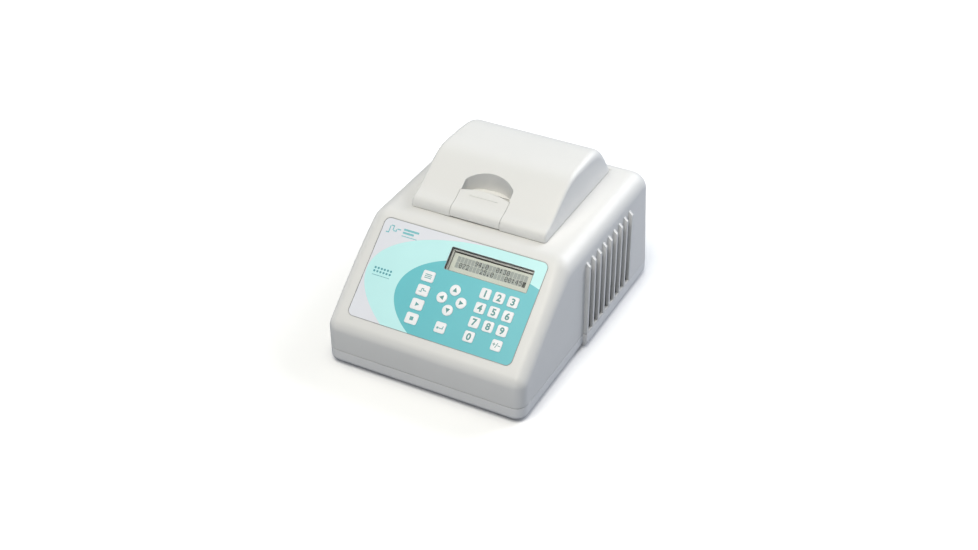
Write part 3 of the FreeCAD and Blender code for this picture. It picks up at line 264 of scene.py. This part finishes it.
def metal(name, colour, rough, brushed=None):
    """Bare metal: brushing, faint tarnish and brighter rubbed edges.

    brushed is the noise scale along each axis; without it the marks have no direction."""
    s = Shader(name)
    edge, _ = s.edge(radius=0.0008)
    rounded = s.bevel(radius=0.00025)
    if brushed:
        lines = s.noise(scale=1.0, rough=0.6, vector=s.scaled(brushed))
    else:
        lines = s.noise(scale=900.0, rough=0.6)
    tarnish = s.noise(scale=45.0, detail=5.0, rough=0.6)
    base = s.tones(colour, dark=0.86, light=1.05, by=tarnish, span=(0.3, 0.75))
    base = s.mix(s.remap(lines, to=(0.0, 0.35)), base, shade(colour, 0.8))
    base = s.mix(s.mul(edge, 0.6), base, shade(colour, 1.25))       # bright edges
    # dirt and painted shade in tight seams, darker where the occlusion test finds close surfaces
    seams = s.remap(s.ao(distance=0.003), span=(0.2, 0.9), to=(0.55, 0.0))
    base = s.mix(seams, base, shade(colour, 0.35))
    rough = s.uneven(rough, tarnish, low=-0.06, high=0.10)
    rough = s.uneven(rough, lines, low=-0.05, high=0.07)
    normal = s.bump(lines, strength=0.12, depth=0.00006, normal=rounded)
    return s.principled(base, rough, normal, metallic=1.0)


def rubbery(name, colour, rough=0.75, grain=0.35):
    """Matt rubber or silicone with paler edges."""
    s = Shader(name)
    edge, rounded = s.edge(radius=0.001)
    fine = s.noise(scale=900.0, detail=4.0, rough=0.6)
    mottle = s.noise(scale=35.0, detail=4.0, rough=0.6)
    base = s.tones(colour, dark=0.8, light=1.25, by=mottle)
    base = s.mix(s.mul(edge, 0.5), base, shade(colour, 1.9))        # pale edges
    return s.principled(base, s.uneven(rough, fine, low=-0.1, high=0.1),
                        s.bump(fine, strength=grain, depth=0.0001, normal=rounded))


def ink(name, colour, rough=0.5):
    """Screen-printed ink: slightly uneven density and a matt skin."""
    s = Shader(name)
    density = s.noise(scale=700.0, rough=0.6)
    base = s.tones(colour, dark=0.93, light=1.06, by=density, span=(0.35, 0.7))
    skin = s.noise(scale=3000.0, detail=2.0)
    return s.principled(base, s.uneven(rough, density, low=-0.06, high=0.06),
                        s.bump(skin, strength=0.1, depth=0.00003))


def clear(name):
    """Thin clear window: mostly see-through, with a soft sheen and faint wipe marks."""
    s = Shader(name)
    through = s.node("ShaderNodeBsdfTransparent", {0: (0.965, 0.972, 0.965, 1)})
    wipes = s.noise(scale=90.0, detail=4.0, rough=0.6, vector=s.scaled((1, 4, 4)))
    ripple = s.noise(scale=60.0, detail=2.0)
    sheen = s.node("ShaderNodeBsdfGlossy", {
        "Color": (1, 1, 1, 1),
        "Roughness": s.remap(wipes, to=(0.05, 0.16)),
        "Normal": s.bump(ripple, strength=0.03, depth=0.0001)})
    fresnel = s.node("ShaderNodeFresnel", {"IOR": 1.35})
    amount = s.mul(fresnel.outputs[0], 0.7)     # holds the sheen back
    return s.done(s.node("ShaderNodeMixShader", {
        0: amount, 1: through.outputs[0], 2: sheen.outputs[0]}).outputs[0])


def board(name):
    """Solder-masked board: green mask over a lattice of tracks and pads."""
    s = Shader(name)
    position = s.scaled((1, 1, 1))
    tracks = s.remap(s.voronoi(scale=260.0, feature="DISTANCE_TO_EDGE", vector=position),
                     span=(0.05, 0.08), to=(1.0, 0.0))
    pads = s.remap(s.voronoi(scale=320.0, feature="F1", vector=position),
                   span=(0.10, 0.16), to=(1.0, 0.0))
    base = s.tones(srgb(22, 92, 58), dark=0.85, light=1.15, by=s.noise(scale=30.0, detail=4.0))
    base = s.mix(s.mul(tracks, 0.6), base, srgb(40, 130, 84))       # green tracks
    base = s.mix(s.mul(pads, 0.8), base, srgb(205, 200, 176))       # pale pads
    return s.principled(base, s.remap(pads, span=(0.0, 1.0), to=(0.38, 0.28)),
                        s.bump(tracks, strength=0.3, depth=0.00005),
                        Coat_Weight=0.3, Coat_Roughness=0.2)


def ceramic(name, colour):
    """Smooth fired ceramic."""
    s = Shader(name)
    fine = s.noise(scale=800.0, rough=0.6)
    base = s.tones(colour, dark=0.94, light=1.0, by=s.noise(scale=50.0, detail=4.0))
    return s.principled(base, s.remap(fine, to=(0.30, 0.42)),
                        s.bump(fine, strength=0.12, depth=0.00004))


def heater_mat(name):
    """Silicone heater mat with the woven cloth showing and the foil track under it."""
    s = Shader(name)
    weave = s.mul(s.wave("X", scale=420.0, distortion=0.4),
                  s.wave("Y", scale=420.0, distortion=0.4))
    base = s.tones(srgb(214, 104, 44), dark=0.82, light=1.1, by=weave, span=(0.1, 0.8))
    track = s.remap(s.wave("Y", scale=34.0), span=(0.6, 0.8), to=(0.0, 0.4))
    base = s.mix(track, base, srgb(150, 70, 34))
    return s.principled(base, 0.55, s.bump(weave, strength=0.35, depth=0.0001))


# ------------------------------------------------------------------ panel materials
def panel_uv(s):
    """u and v of the panel, in millimetres, from the object position."""
    offset = s.vector_math("SUBTRACT", s.position, tuple(PANEL_ORIGIN), output="Vector")
    return [s.mul(s.vector_math("DOT_PRODUCT", offset, tuple(axis)), 1000.0)
            for axis in (PANEL_U, PANEL_V)]


def hypotenuse(s, a, b):
    return s.math("SQRT", s.add(s.mul(a, a), s.mul(b, b)))


def ellipse(s, u, v, centre, half, turn):
    """1 inside a turned ellipse, with a soft border."""
    cos, sin = math.cos(math.radians(turn)), math.sin(math.radians(turn))
    half_long, half_short = half
    x = s.sub(u, centre[0])
    y = s.sub(v, centre[1])
    along = s.add(s.mul(x, cos / half_long), s.mul(y, sin / half_long))
    across = s.add(s.mul(x, -sin / half_short), s.mul(y, cos / half_short))
    soft = 0.12 / min(half)     # 0.12 mm to either side of the border
    return s.remap(hypotenuse(s, along, across), span=(1.0 + soft, 1.0 - soft))


def rounded_rect(s, u, v, u_span, v_span, corner):
    """Signed distance in mm to a rounded rectangle, below 0 inside."""
    beyond = []
    for place, (low, high) in ((u, u_span), (v, v_span)):
        off_centre = s.math("ABSOLUTE", s.sub(place, (low + high) / 2))
        beyond.append(s.sub(off_centre, (high - low) / 2 - corner))
    outside = hypotenuse(s, *[s.math("MAXIMUM", side, 0.0) for side in beyond])
    inside = s.math("MINIMUM", s.math("MAXIMUM", *beyond), 0.0)
    return s.sub(s.add(outside, inside), corner)


def film(name):
    """Printed polyester overlay: three nested colour fields, satin texture, grey cut edge."""
    s = Shader(name)
    u, v = panel_uv(s)
    density = s.remap(s.noise(scale=26.0, detail=4.0, rough=0.55), to=(0.985, 1.012))
    aqua = s.tones(srgb(200, 249, 250), dark=0.99, light=1.01, by=u, span=(-90.0, 90.0))
    teal = s.tones(srgb(102, 199, 209), dark=0.97, light=1.03, by=v, span=(10.0, 100.0))
    base = s.mix(ellipse(s, u, v, **AQUA_FIELD), srgb(233, 235, 243), aqua)
    base = s.mix(ellipse(s, u, v, **TEAL_FIELD), base, teal)
    # cut edge of the film, then the printed border round the display opening
    cut = s.remap(rounded_rect(s, u, v, **FILM_EDGE), span=(-0.62, -0.18))
    base = s.mix(cut, base, srgb(150, 150, 152))
    border = s.remap(rounded_rect(s, u, v, **OPENING), span=(0.70, 0.35))
    base = s.mix(border, base, srgb(140, 146, 148))
    base = s.mix(1.0, base, density, mode="MULTIPLY")
    blotches = s.noise(scale=40.0, detail=4.0, rough=0.6)
    satin = s.noise(scale=2600.0, detail=2.0)
    return s.principled(base, s.uneven(0.36, blotches, low=-0.05, high=0.06),
                        s.bump(satin, strength=0.10, depth=0.00005), IOR=1.55)


def key_film(name):
    """White printed pad of a key, with a slightly uneven sheen and tinted edges."""
    s = Shader(name)
    edge, rounded = s.edge(radius=0.0005)
    base = s.tones(srgb(250, 250, 253), dark=0.965, light=1.0, span=(0.3, 0.72),
                   by=s.noise(scale=70.0, detail=4.0, rough=0.6))
    base = s.mix(s.mul(edge, 0.35), base, srgb(206, 226, 228))      # tinted edges
    blotches = s.noise(scale=120.0, rough=0.6)
    satin = s.noise(scale=2400.0, detail=2.0)
    return s.principled(base, s.uneven(0.38, blotches, low=-0.08, high=0.05),
                        s.bump(satin, strength=0.10, depth=0.00005, normal=rounded), IOR=1.55)


def lcd(name):
    """Reflective character display: beige field, faint grey five-by-eight dot cells, painted
    shadow round the glass under the bezel edge.
    """
    s = Shader(name)
    u, v = panel_uv(s)

    def less(a, b):
        return s.math("LESS_THAN", a, b)

    def more(a, b):
        return s.math("GREATER_THAN", a, b)

    column = s.math("DIVIDE", s.sub(u, LCD_LEFT), CELL_PITCH_U)
    row = s.math("DIVIDE", s.sub(LCD_TOP, v), CELL_PITCH_V)
    cell_u, cell_v = s.math("FRACT", column), s.math("FRACT", row)
    in_columns = s.mul(more(column, 0.0), less(column, float(LCD_COLUMNS)))
    in_rows = s.mul(more(row, 0.0), less(row, float(LCD_ROWS)))
    in_cell = s.mul(s.mul(in_columns, in_rows),
                    s.mul(less(cell_u, CELL_WIDTH / CELL_PITCH_U),
                          less(cell_v, CELL_HEIGHT / CELL_PITCH_V)))
    dot_u = s.math("FRACT", s.mul(cell_u, CELL_PITCH_U / DOT_PITCH_U))
    dot_v = s.math("FRACT", s.mul(cell_v, CELL_PITCH_V / DOT_PITCH_V))
    dot_share = 0.88    # of the dot pitch
    dot = s.mul(less(dot_u, dot_share), less(dot_v, dot_share))
    grey = s.mul(in_cell, s.remap(dot, span=(0.0, 1.0), to=(0.45, 1.0)))
    base = s.mix(s.remap(s.noise(scale=30.0)), srgb(226, 229, 221), srgb(231, 234, 228))
    base = s.mix(s.mul(grey, 0.80), base, srgb(146, 155, 160))      # unlit dots
    # painted shadow round the edge of the glass, where the bezel overhangs it
    painted_bezel_shadow = s.math("MAXIMUM",
                  s.math("MAXIMUM", less(u, GLASS_U[0]), more(u, GLASS_U[1])),
                  s.math("MAXIMUM", more(v, GLASS_V[1]), less(v, GLASS_V[0])))
    base = s.mix(s.mul(painted_bezel_shadow, 0.94), base, srgb(52, 42, 38))
    fine = s.noise(scale=5000.0, detail=2.0)
    return s.principled(base, s.remap(fine, to=(0.40, 0.52)),
                        s.bump(fine, strength=0.08, depth=0.00002), IOR=1.5)


# ------------------------------------------------------------------ materials on the CAD pieces
# strength of the painted shade inside the case and tray
CAVITY_SHADE = 0.92   # darkness inside the case and tray
# slot name, maker, its settings
MATERIAL_TABLE = (
    ("housing_plastic", moulded, dict(colour=(0.80, 0.795, 0.78), cavity_shade=CAVITY_SHADE)),
    ("lid_plastic", moulded, dict(colour=(0.81, 0.807, 0.792), rough=0.40)),
    ("tray_plastic", moulded, dict(colour=(0.875, 0.87, 0.86), rough=0.45, grain=0.13,
                                   cavity_shade=CAVITY_SHADE)),
    ("liner_plastic", moulded, dict(colour=(0.62, 0.62, 0.61), rough=0.5, grain=0.16)),
    ("overlay_film", film, {}),
    ("key_white", key_film, {}),
    ("circuit_film", moulded, dict(colour=srgb(168, 176, 182), rough=0.3, grain=0.03,
                                   wear=0.1)),
    ("dome_steel", metal, dict(colour=(0.78, 0.77, 0.74), rough=0.22)),
    ("clear_window", clear, {}),
    ("frame_steel", metal, dict(colour=(0.50, 0.50, 0.50), rough=0.38,
                                brushed=(400, 5000, 5000))),
    ("display_glass", lcd, {}),
    ("circuit_board", board, {}),
    ("zinc_steel", metal, dict(colour=(0.72, 0.73, 0.74), rough=0.30)),
    ("spring_steel", metal, dict(colour=(0.56, 0.56, 0.57), rough=0.25)),
    ("block_aluminium", metal, dict(colour=(0.80, 0.81, 0.82), rough=0.34,
                                    brushed=(300, 4200, 4200))),
    ("sink_aluminium", metal, dict(colour=(0.66, 0.67, 0.69), rough=0.36,
                                   brushed=(2600, 300, 2600))),
    ("seal_silicone", rubbery, dict(colour=srgb(176, 178, 176), rough=0.55, grain=0.15)),
    ("ceramic_white", ceramic, dict(colour=srgb(236, 234, 228))),
    ("black_plastic", moulded, dict(colour=srgb(34, 34, 36), grain=0.14, dust_and_shade=0.10, wear=0.5)),
    ("foot_rubber", rubbery, dict(colour=srgb(52, 52, 54))),
    ("heater_orange", heater_mat, {}),
    ("supply_steel", metal, dict(colour=(0.60, 0.61, 0.62), rough=0.42,
                                 brushed=(700, 700, 4000))),
)
MATERIALS = {name: maker(name, **settings) for name, maker, settings in MATERIAL_TABLE}


def smooth_edges_group():
    """Geometry nodes: join split vertices, smooth the faces, keep real edges sharp."""
    group = bpy.data.node_groups.new("smooth_edges", "GeometryNodeTree")
    for direction in ("INPUT", "OUTPUT"):
        group.interface.new_socket("Geometry", in_out=direction,
                                   socket_type="NodeSocketGeometry")
    start = group.nodes.new("NodeGroupInput")
    end = group.nodes.new("NodeGroupOutput")
    merge = group.nodes.new("GeometryNodeMergeByDistance")
    merge.inputs["Distance"].default_value = 2e-6
    smooth = group.nodes.new("GeometryNodeSetShadeSmooth")
    smooth.domain = "FACE"
    smooth.inputs["Shade Smooth"].default_value = True
    sharpen = group.nodes.new("GeometryNodeSetShadeSmooth")
    sharpen.domain = "EDGE"
    sharpen.inputs["Shade Smooth"].default_value = False
    angle = group.nodes.new("GeometryNodeInputMeshEdgeAngle")
    steep = group.nodes.new("FunctionNodeCompare")
    steep.data_type = "FLOAT"
    steep.operation = "GREATER_THAN"
    steep.inputs[1].default_value = math.radians(28.0)
    link = group.links.new
    link(start.outputs[0], merge.inputs["Geometry"])
    link(merge.outputs[0], smooth.inputs["Geometry"])
    link(smooth.outputs[0], sharpen.inputs["Geometry"])
    link(angle.outputs["Unsigned Angle"], steep.inputs[0])
    link(steep.outputs[0], sharpen.inputs["Selection"])
    link(sharpen.outputs[0], end.inputs[0])
    return group


def dress(obj, material, group):
    """Put the material in every slot and let the node group set the shading."""
    if not obj.data.materials:
        obj.data.materials.append(material)
    for slot in obj.material_slots:
        slot.material = material
    if "custom_normal" in obj.data.attributes:
        obj.data.attributes.remove(obj.data.attributes["custom_normal"])
    obj.modifiers.new("smooth_edges", "NODES").node_group = group


smooth_edges = smooth_edges_group()
slot_of = {part["node"]: part["material_slot"] for part in frame["record"]["subparts"]}
for name, obj in NODES.items():
    dress(obj, MATERIALS[slot_of[name]], smooth_edges)

# ------------------------------------------------------------------ printed pieces
INK = {
    "digit": ink("ink_digit", srgb(96, 158, 156)),
    "icon": ink("ink_icon", srgb(104, 172, 174)),
    "teal": ink("ink_teal", srgb(128, 200, 208)),
    "deep": ink("ink_deep", srgb(86, 168, 180)),
    "lcd": ink("lcd_dot", srgb(34, 40, 40), rough=0.4),
    "mark": ink("ink_mark", srgb(224, 224, 222)),   # spare pale ink
}


def piece(name, mesh, material, body):
    obj = bpy.data.objects.new(name, mesh)
    scene.collection.objects.link(obj)
    mesh.materials.append(material)
    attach(obj, body)


def prisms(name, polygons, layer, material, body, at=(0.0, 0.0)):
    """Thin closed slabs through a layer: polygons in panel millimetres, moved to a place."""
    bm = bmesh.new()
    for poly in polygons:
        area = sum(a[0] * b[1] - b[0] * a[1] for a, b in zip(poly, poly[1:] + poly[:1]))
        if area < 0:
            poly = poly[::-1]
        low, high = [[bm.verts.new(panel_point(at[0] + x, at[1] + y, n)) for x, y in poly]
                     for n in layer]
        bm.faces.new(high)
        bm.faces.new(low[::-1])
        for i in range(len(poly)):
            j = (i + 1) % len(poly)
            bm.faces.new((low[i], low[j], high[j], high[i]))
    bmesh.ops.triangulate(bm, faces=[f for f in bm.faces if len(f.verts) > 4])
    mesh = bpy.data.meshes.new(name)
    bm.to_mesh(mesh)
    bm.free()
    piece(name, mesh, material, body)


def key_print(name, polygons, ink_name, key, at):
    prisms(name, polygons, KEY_INK, INK[ink_name], "key_%s_body" % key, at)


def label_print(name, polygons, ink_name, at=(0.0, 0.0)):
    prisms(name, polygons, LABEL_INK, INK[ink_name], "base", at)


def circle(x, y, radius, sides):
    turns = [2 * math.pi * i / sides for i in range(sides)]
    return [(x + radius * math.cos(a), y + radius * math.sin(a)) for a in turns]


def rect(x0, y0, x1, y1):
    return [(x0, y0), (x1, y0), (x1, y1), (x0, y1)]


def slanted_bar(start, end, width):
    """A bar between two points, carried on by half its width at each end."""
    (x0, y0), (x1, y1) = start, end
    length = math.hypot(x1 - x0, y1 - y0)
    dx = (x1 - x0) / length * width / 2
    dy = (y1 - y0) / length * width / 2
    return [(x0 - dx - dy, y0 - dy + dx), (x0 - dx + dy, y0 - dy - dx),
            (x1 + dx + dy, y1 + dy - dx), (x1 + dx - dy, y1 + dy + dx)]


NUMERAL_HEIGHT = 6.6
CAP_SHARE = 0.73        # numeral height as a share of the font size
NUMERAL_BOLD = 0.046    # outline growth as a share of the height


def numeral(text, centre_u, centre_v):
    """A printed numeral, as a thin closed slab on its key."""
    name = "numeral_" + text
    curve = bpy.data.curves.new(name + "_outline", "FONT")
    curve.body = text
    curve.size = NUMERAL_HEIGHT / CAP_SHARE
    curve.offset = NUMERAL_BOLD * NUMERAL_HEIGHT
    curve.extrude = (KEY_INK[1] - KEY_INK[0]) / 2
    curve.resolution_u = 6
    curve.align_x = "CENTER"
    outline = bpy.data.objects.new(name + "_outline", curve)
    scene.collection.objects.link(outline)
    depsgraph = bpy.context.evaluated_depsgraph_get()
    mesh = bpy.data.meshes.new_from_object(outline.evaluated_get(depsgraph))
    bpy.data.objects.remove(outline)
    bpy.data.curves.remove(curve)
    mesh.name = name
    xs = [vert.co.x for vert in mesh.vertices]
    ys = [vert.co.y for vert in mesh.vertices]
    mid_x, mid_y = (min(xs) + max(xs)) / 2, (min(ys) + max(ys)) / 2
    mid_n = (KEY_INK[0] + KEY_INK[1]) / 2
    for vert in mesh.vertices:
        x, y, z = vert.co
        vert.co = panel_point(centre_u + x - mid_x, centre_v + y - mid_y, mid_n + z)
    bm = bmesh.new()
    bm.from_mesh(mesh)
    bmesh.ops.remove_doubles(bm, verts=bm.verts, dist=2e-7)
    bmesh.ops.recalc_face_normals(bm, faces=bm.faces)
    bm.to_mesh(mesh)
    bm.free()
    mesh.materials.clear()
    piece(name, mesh, INK["digit"], "key_%s_body" % text)


for i in range(9):
    numeral(str(i + 1), KEY_COLUMNS[i % 3], KEY_ROWS[i // 3])
numeral("0", KEY_COLUMNS[0], KEY_ROWS[3])

# plus in three rectangles, slash, minus
key_print("numeral_sign", [
    rect(-4.0, 0.25, -1.2, 0.95), rect(-2.95, -0.8, -2.25, 0.25), rect(-2.95, 0.95, -2.25, 2.0),
    slanted_bar((-0.65, -2.2), (0.65, 2.2), width=0.65),
    rect(1.3, -0.3, 3.8, 0.4),
], "digit", "sign", at=(KEY_COLUMNS[2], KEY_ROWS[3]))

# arrows: key name, place, turn in degrees
ARROW_SIZE = 2.35
ARROWS = (
    ("up", (ARROW_U, ARROW_V + ARROW_REACH_V), 90),
    ("down", (ARROW_U, ARROW_V - ARROW_REACH_V), 270),
    ("left", (ARROW_U - ARROW_REACH_U, ARROW_V), 180),
    ("right", (ARROW_U + ARROW_REACH_U, ARROW_V), 0),
)
for name, place, turn in ARROWS:
    cos, sin = math.cos(math.radians(turn)), math.sin(math.radians(turn))
    triangle = [(x * ARROW_SIZE, y * ARROW_SIZE)
                for x, y in ((1.15, 0), (-0.75, 0.98), (-0.75, -0.98))]
    turned = [(x * cos - y * sin, x * sin + y * cos) for x, y in triangle]
    key_print("arrow_" + name, [turned], "digit", name, at=place)

# icons of the function column, about each key's centre
FUNCTION_ICONS = {
    # three lines
    "f1": [rect(-3.6, y - 0.38, 3.6, y + 0.38) for y in (1.7, 0.0, -1.7)],
    # stepped profile
    "f2": [rect(-3.7, -2.0, -1.7, -1.2), rect(-1.7, -2.0, -0.9, 2.0), rect(-0.9, 1.2, 0.3, 2.0),
           rect(0.3, -0.4, 1.1, 2.0), rect(1.1, -0.4, 3.7, 0.4)],
    # triangle pointing right
    "f3": [[(-1.8, -2.1), (2.3, 0), (-1.8, 2.1)]],
    # square
    "f4": [rect(-1.8, -1.8, 1.8, 1.8)],
}
function_v = {}
for name in FUNCTION_ICONS:
    low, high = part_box("key_" + name)
    function_v[name] = ((low + high) / 2 - PANEL_ORIGIN).dot(PANEL_V) * 1000.0
for name, polygons in FUNCTION_ICONS.items():
    key_print("icon_" + name, polygons, "icon", name, at=(FUNCTION_U, function_v[name]))

# bent arrow pointing left
key_print("icon_enter", [
    rect(-2.0, -1.15, 3.1, -0.4), rect(2.35, -0.4, 3.1, 1.9),
    [(-3.9, -0.77), (-2.0, -2.3), (-2.0, 0.76)],
], "icon", "enter", at=(ENTER_U, KEY_ROWS[3]))

# label graphics at the top left: a stepped profile with bars beside it
LABEL_AT = (-81.5, 102.6)
PROFILE = ((0, 0), (2.4, 0), (2.4, 7.4), (6.0, 7.4), (6.0, 2.6), (9.6, 2.6), (9.6, 5.2),
           (13.6, 5.2))
HALF_LINE = 0.55


def profile_bars():
    """One rectangle for each run of the stepped profile."""
    bars = []
    for i, (start, end) in enumerate(zip(PROFILE, PROFILE[1:])):
        x0, x1 = sorted((start[0], end[0]))
        y0, y1 = sorted((start[1], end[1]))
        if y0 == y1:
            first = HALF_LINE if i else -HALF_LINE
            bars.append(rect(x0 + first, y0 - HALF_LINE, x1 + HALF_LINE, y1 + HALF_LINE))
        else:
            last = -HALF_LINE if end[1] > start[1] else HALF_LINE
            bars.append(rect(x0 - HALF_LINE, y0 + HALF_LINE, x1 + HALF_LINE, y1 + last))
    return bars


label_print("label_profile", profile_bars(), "teal", at=LABEL_AT)
label_print("label_bars", [rect(17.0, 5.6, 33.5, 7.6), rect(17.0, 2.4, 29.0, 4.4),
                           rect(17.0, -0.4, 33.5, 0.4)], "teal", at=LABEL_AT)

# two rows of six wells over a line
WELL_PITCH = 3.4
wells = [circle(-77.5 + WELL_PITCH * i, 66.0 - WELL_PITCH * j, radius=1.15, sides=18)
         for i in range(6) for j in range(2)]
label_print("label_wells", wells + [rect(-78.6, 58.6, -59.4, 59.1)], "deep")

# ------------------------------------------------------------------ display read-out
# dots of each character, row by row from the top
FONT = {
    "0": "01110 10001 10011 10101 11001 10001 01110",
    "2": "01110 10001 00001 00010 00100 01000 11111",
    "3": "11111 00010 00100 00010 00001 10001 01110",
    "4": "00010 00110 01010 10010 11111 00010 00010",
    "5": "11111 10000 11110 00001 00001 10001 01110",
    "7": "11111 00001 00010 00100 01000 01000 01000",
    "9": "01110 10001 10001 01111 00001 00010 01100",
    ":": "00000 01100 01100 00000 01100 01100 00000",
    ".": "00000 00000 00000 00000 00000 01100 01100",
    "#": "11111 11111 11111 11111 11111 11111 11111 11111",
    " ": "",
}
READ_OUT = ("     94.0  0:30     ", " 072   25.0   00:45#")
LIT_SHARE = 0.93    # of the dot pitch


def lit_dots():
    dots = []
    for row, line in enumerate(READ_OUT):
        for column, character in enumerate(line):
            for j, bits in enumerate(FONT[character].split()):
                for i, bit in enumerate(bits):
                    if bit == "1":
                        left = LCD_LEFT + column * CELL_PITCH_U + i * DOT_PITCH_U
                        top = LCD_TOP - row * CELL_PITCH_V - j * DOT_PITCH_V
                        dots.append(rect(left, top - DOT_PITCH_V * LIT_SHARE,
                                         left + DOT_PITCH_U * LIT_SHARE, top))
    return dots


prisms("display_dots", lit_dots(), LCD_INK, INK["lcd"], "base")


# ------------------------------------------------------------------ floor and world
def floor_paper():
    """White paper that glows to the camera with distance, bounces less light than it shows, and
    carries a painted shadow round the foot of the case.
    """
    s = Shader("floor_paper")
    seen = s.node("ShaderNodeLightPath").outputs["Is Camera Ray"]
    paper = s.mix(s.remap(s.noise(scale=6.0)), (0.985, 0.985, 0.985, 1), (0.99, 0.99, 0.99, 1))
    bounced = s.mix(1.0, paper, (0.37, 0.385, 0.43, 1), mode="MULTIPLY")
    # painted shadow: greyer where the occlusion test finds the case close by
    painted_contact_shadow = s.remap(s.ao(distance=0.030), span=(0.30, 0.80))
    shown = s.mix(painted_contact_shadow, (0.66, 0.67, 0.71, 1), paper)
    reach = s.vector_math("LENGTH", s.position)
    glow = s.mul(seen, s.add(s.remap(reach, span=(0.18, 0.9), to=(0.11, 0.45)),
                             s.remap(reach, span=(0.9, 2.6), to=(0.0, 0.75))))
    normal = s.bump(s.noise(scale=500.0), strength=0.02, depth=0.0001)
    return s.principled(s.mix(seen, bounced, shown), 0.9, normal, IOR=1.2,
                        Emission_Color=(1.0, 1.0, 1.0, 1.0), Emission_Strength=glow)


def build_floor():
    material = floor_paper()
    bm = bmesh.new()
    bmesh.ops.create_grid(bm, x_segments=8, y_segments=8, size=6.0)
    mesh = bpy.data.meshes.new("floor")
    bm.to_mesh(mesh)
    bm.free()
    floor = bpy.data.objects.new("floor", mesh)
    scene.collection.objects.link(floor)
    floor.location = (0, 0, -0.0002)
    mesh.materials.append(material)


def build_world():
    """Dim blue fill light, with a white sweep for direct sight only."""
    world = bpy.data.worlds.new("studio")
    scene.world = world
    world.use_nodes = True
    nodes, link = world.node_tree.nodes, world.node_tree.links.new
    fill = nodes["Background"]
    fill.inputs[0].default_value = (0.565, 0.766, 1.0, 1)
    fill.inputs[1].default_value = 0.209
    sweep = nodes.new("ShaderNodeBackground")
    sweep.inputs[0].default_value = (1.0, 1.0, 1.0, 1)
    sweep.inputs[1].default_value = 1.0
    path = nodes.new("ShaderNodeLightPath")
    mix = nodes.new("ShaderNodeMixShader")
    link(path.outputs["Is Camera Ray"], mix.inputs[0])
    link(fill.outputs[0], mix.inputs[1])
    link(sweep.outputs[0], mix.inputs[2])
    link(mix.outputs[0], nodes["World Output"].inputs["Surface"])


build_floor()
build_world()

# ------------------------------------------------------------------ lights and camera
LIGHT_TARGET = Vector((0.0, 0.0, 0.08))


def softbox(name, place, width, height, energy, colour):
    light = bpy.data.lights.new(name, "AREA")
    light.shape = "RECTANGLE"
    light.size = width
    light.size_y = height
    light.energy = energy
    light.color = colour
    obj = bpy.data.objects.new(name, light)
    scene.collection.objects.link(obj)
    obj.location = place
    obj.rotation_euler = (LIGHT_TARGET - Vector(place)).to_track_quat("-Z", "Y").to_euler()


softbox("softbox_front", place=(0.0, -0.8452, 1.8926), width=1.2, height=1.2, energy=33.1,
        colour=(1.0, 0.946, 0.836))
softbox("softbox_back", place=(0.8480, 1.4688, 1.1398), width=1.2, height=1.2, energy=26.4,
        colour=(0.949, 0.961, 1.0))
softbox("softbox_left", place=(-1.98, 0.30, 0.36), width=1.2, height=0.5, energy=4.0,
        colour=(0.97, 0.985, 1.0))


def build_camera(place, forward, right):
    """Camera in front of the case and to its right, looking down at it."""
    data = bpy.data.cameras.new("camera")
    data.lens = 54.60
    data.sensor_width = 36.0
    data.clip_start = 0.05
    data.clip_end = 50.0
    camera = bpy.data.objects.new("camera", data)
    scene.collection.objects.link(camera)
    forward = Vector(forward).normalized()
    right = Vector(right)
    right = (right - forward * right.dot(forward)).normalized()
    back = -forward
    matrix = Matrix((right, back.cross(right), back)).transposed().to_4x4()
    matrix.translation = place
    camera.matrix_world = matrix
    scene.camera = camera


build_camera(place=(0.56309, -1.06568, 0.89790), forward=(-0.38346, 0.72083, -0.57738),
             right=(0.88439, 0.46672, -0.00469))
scene.view_settings.view_transform = "Standard"
scene.view_settings.look = "None"
scene.view_settings.exposure = 0.0
scene.view_settings.gamma = 1.0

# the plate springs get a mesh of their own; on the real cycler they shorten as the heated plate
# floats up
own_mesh(NODES["plate_springs"])
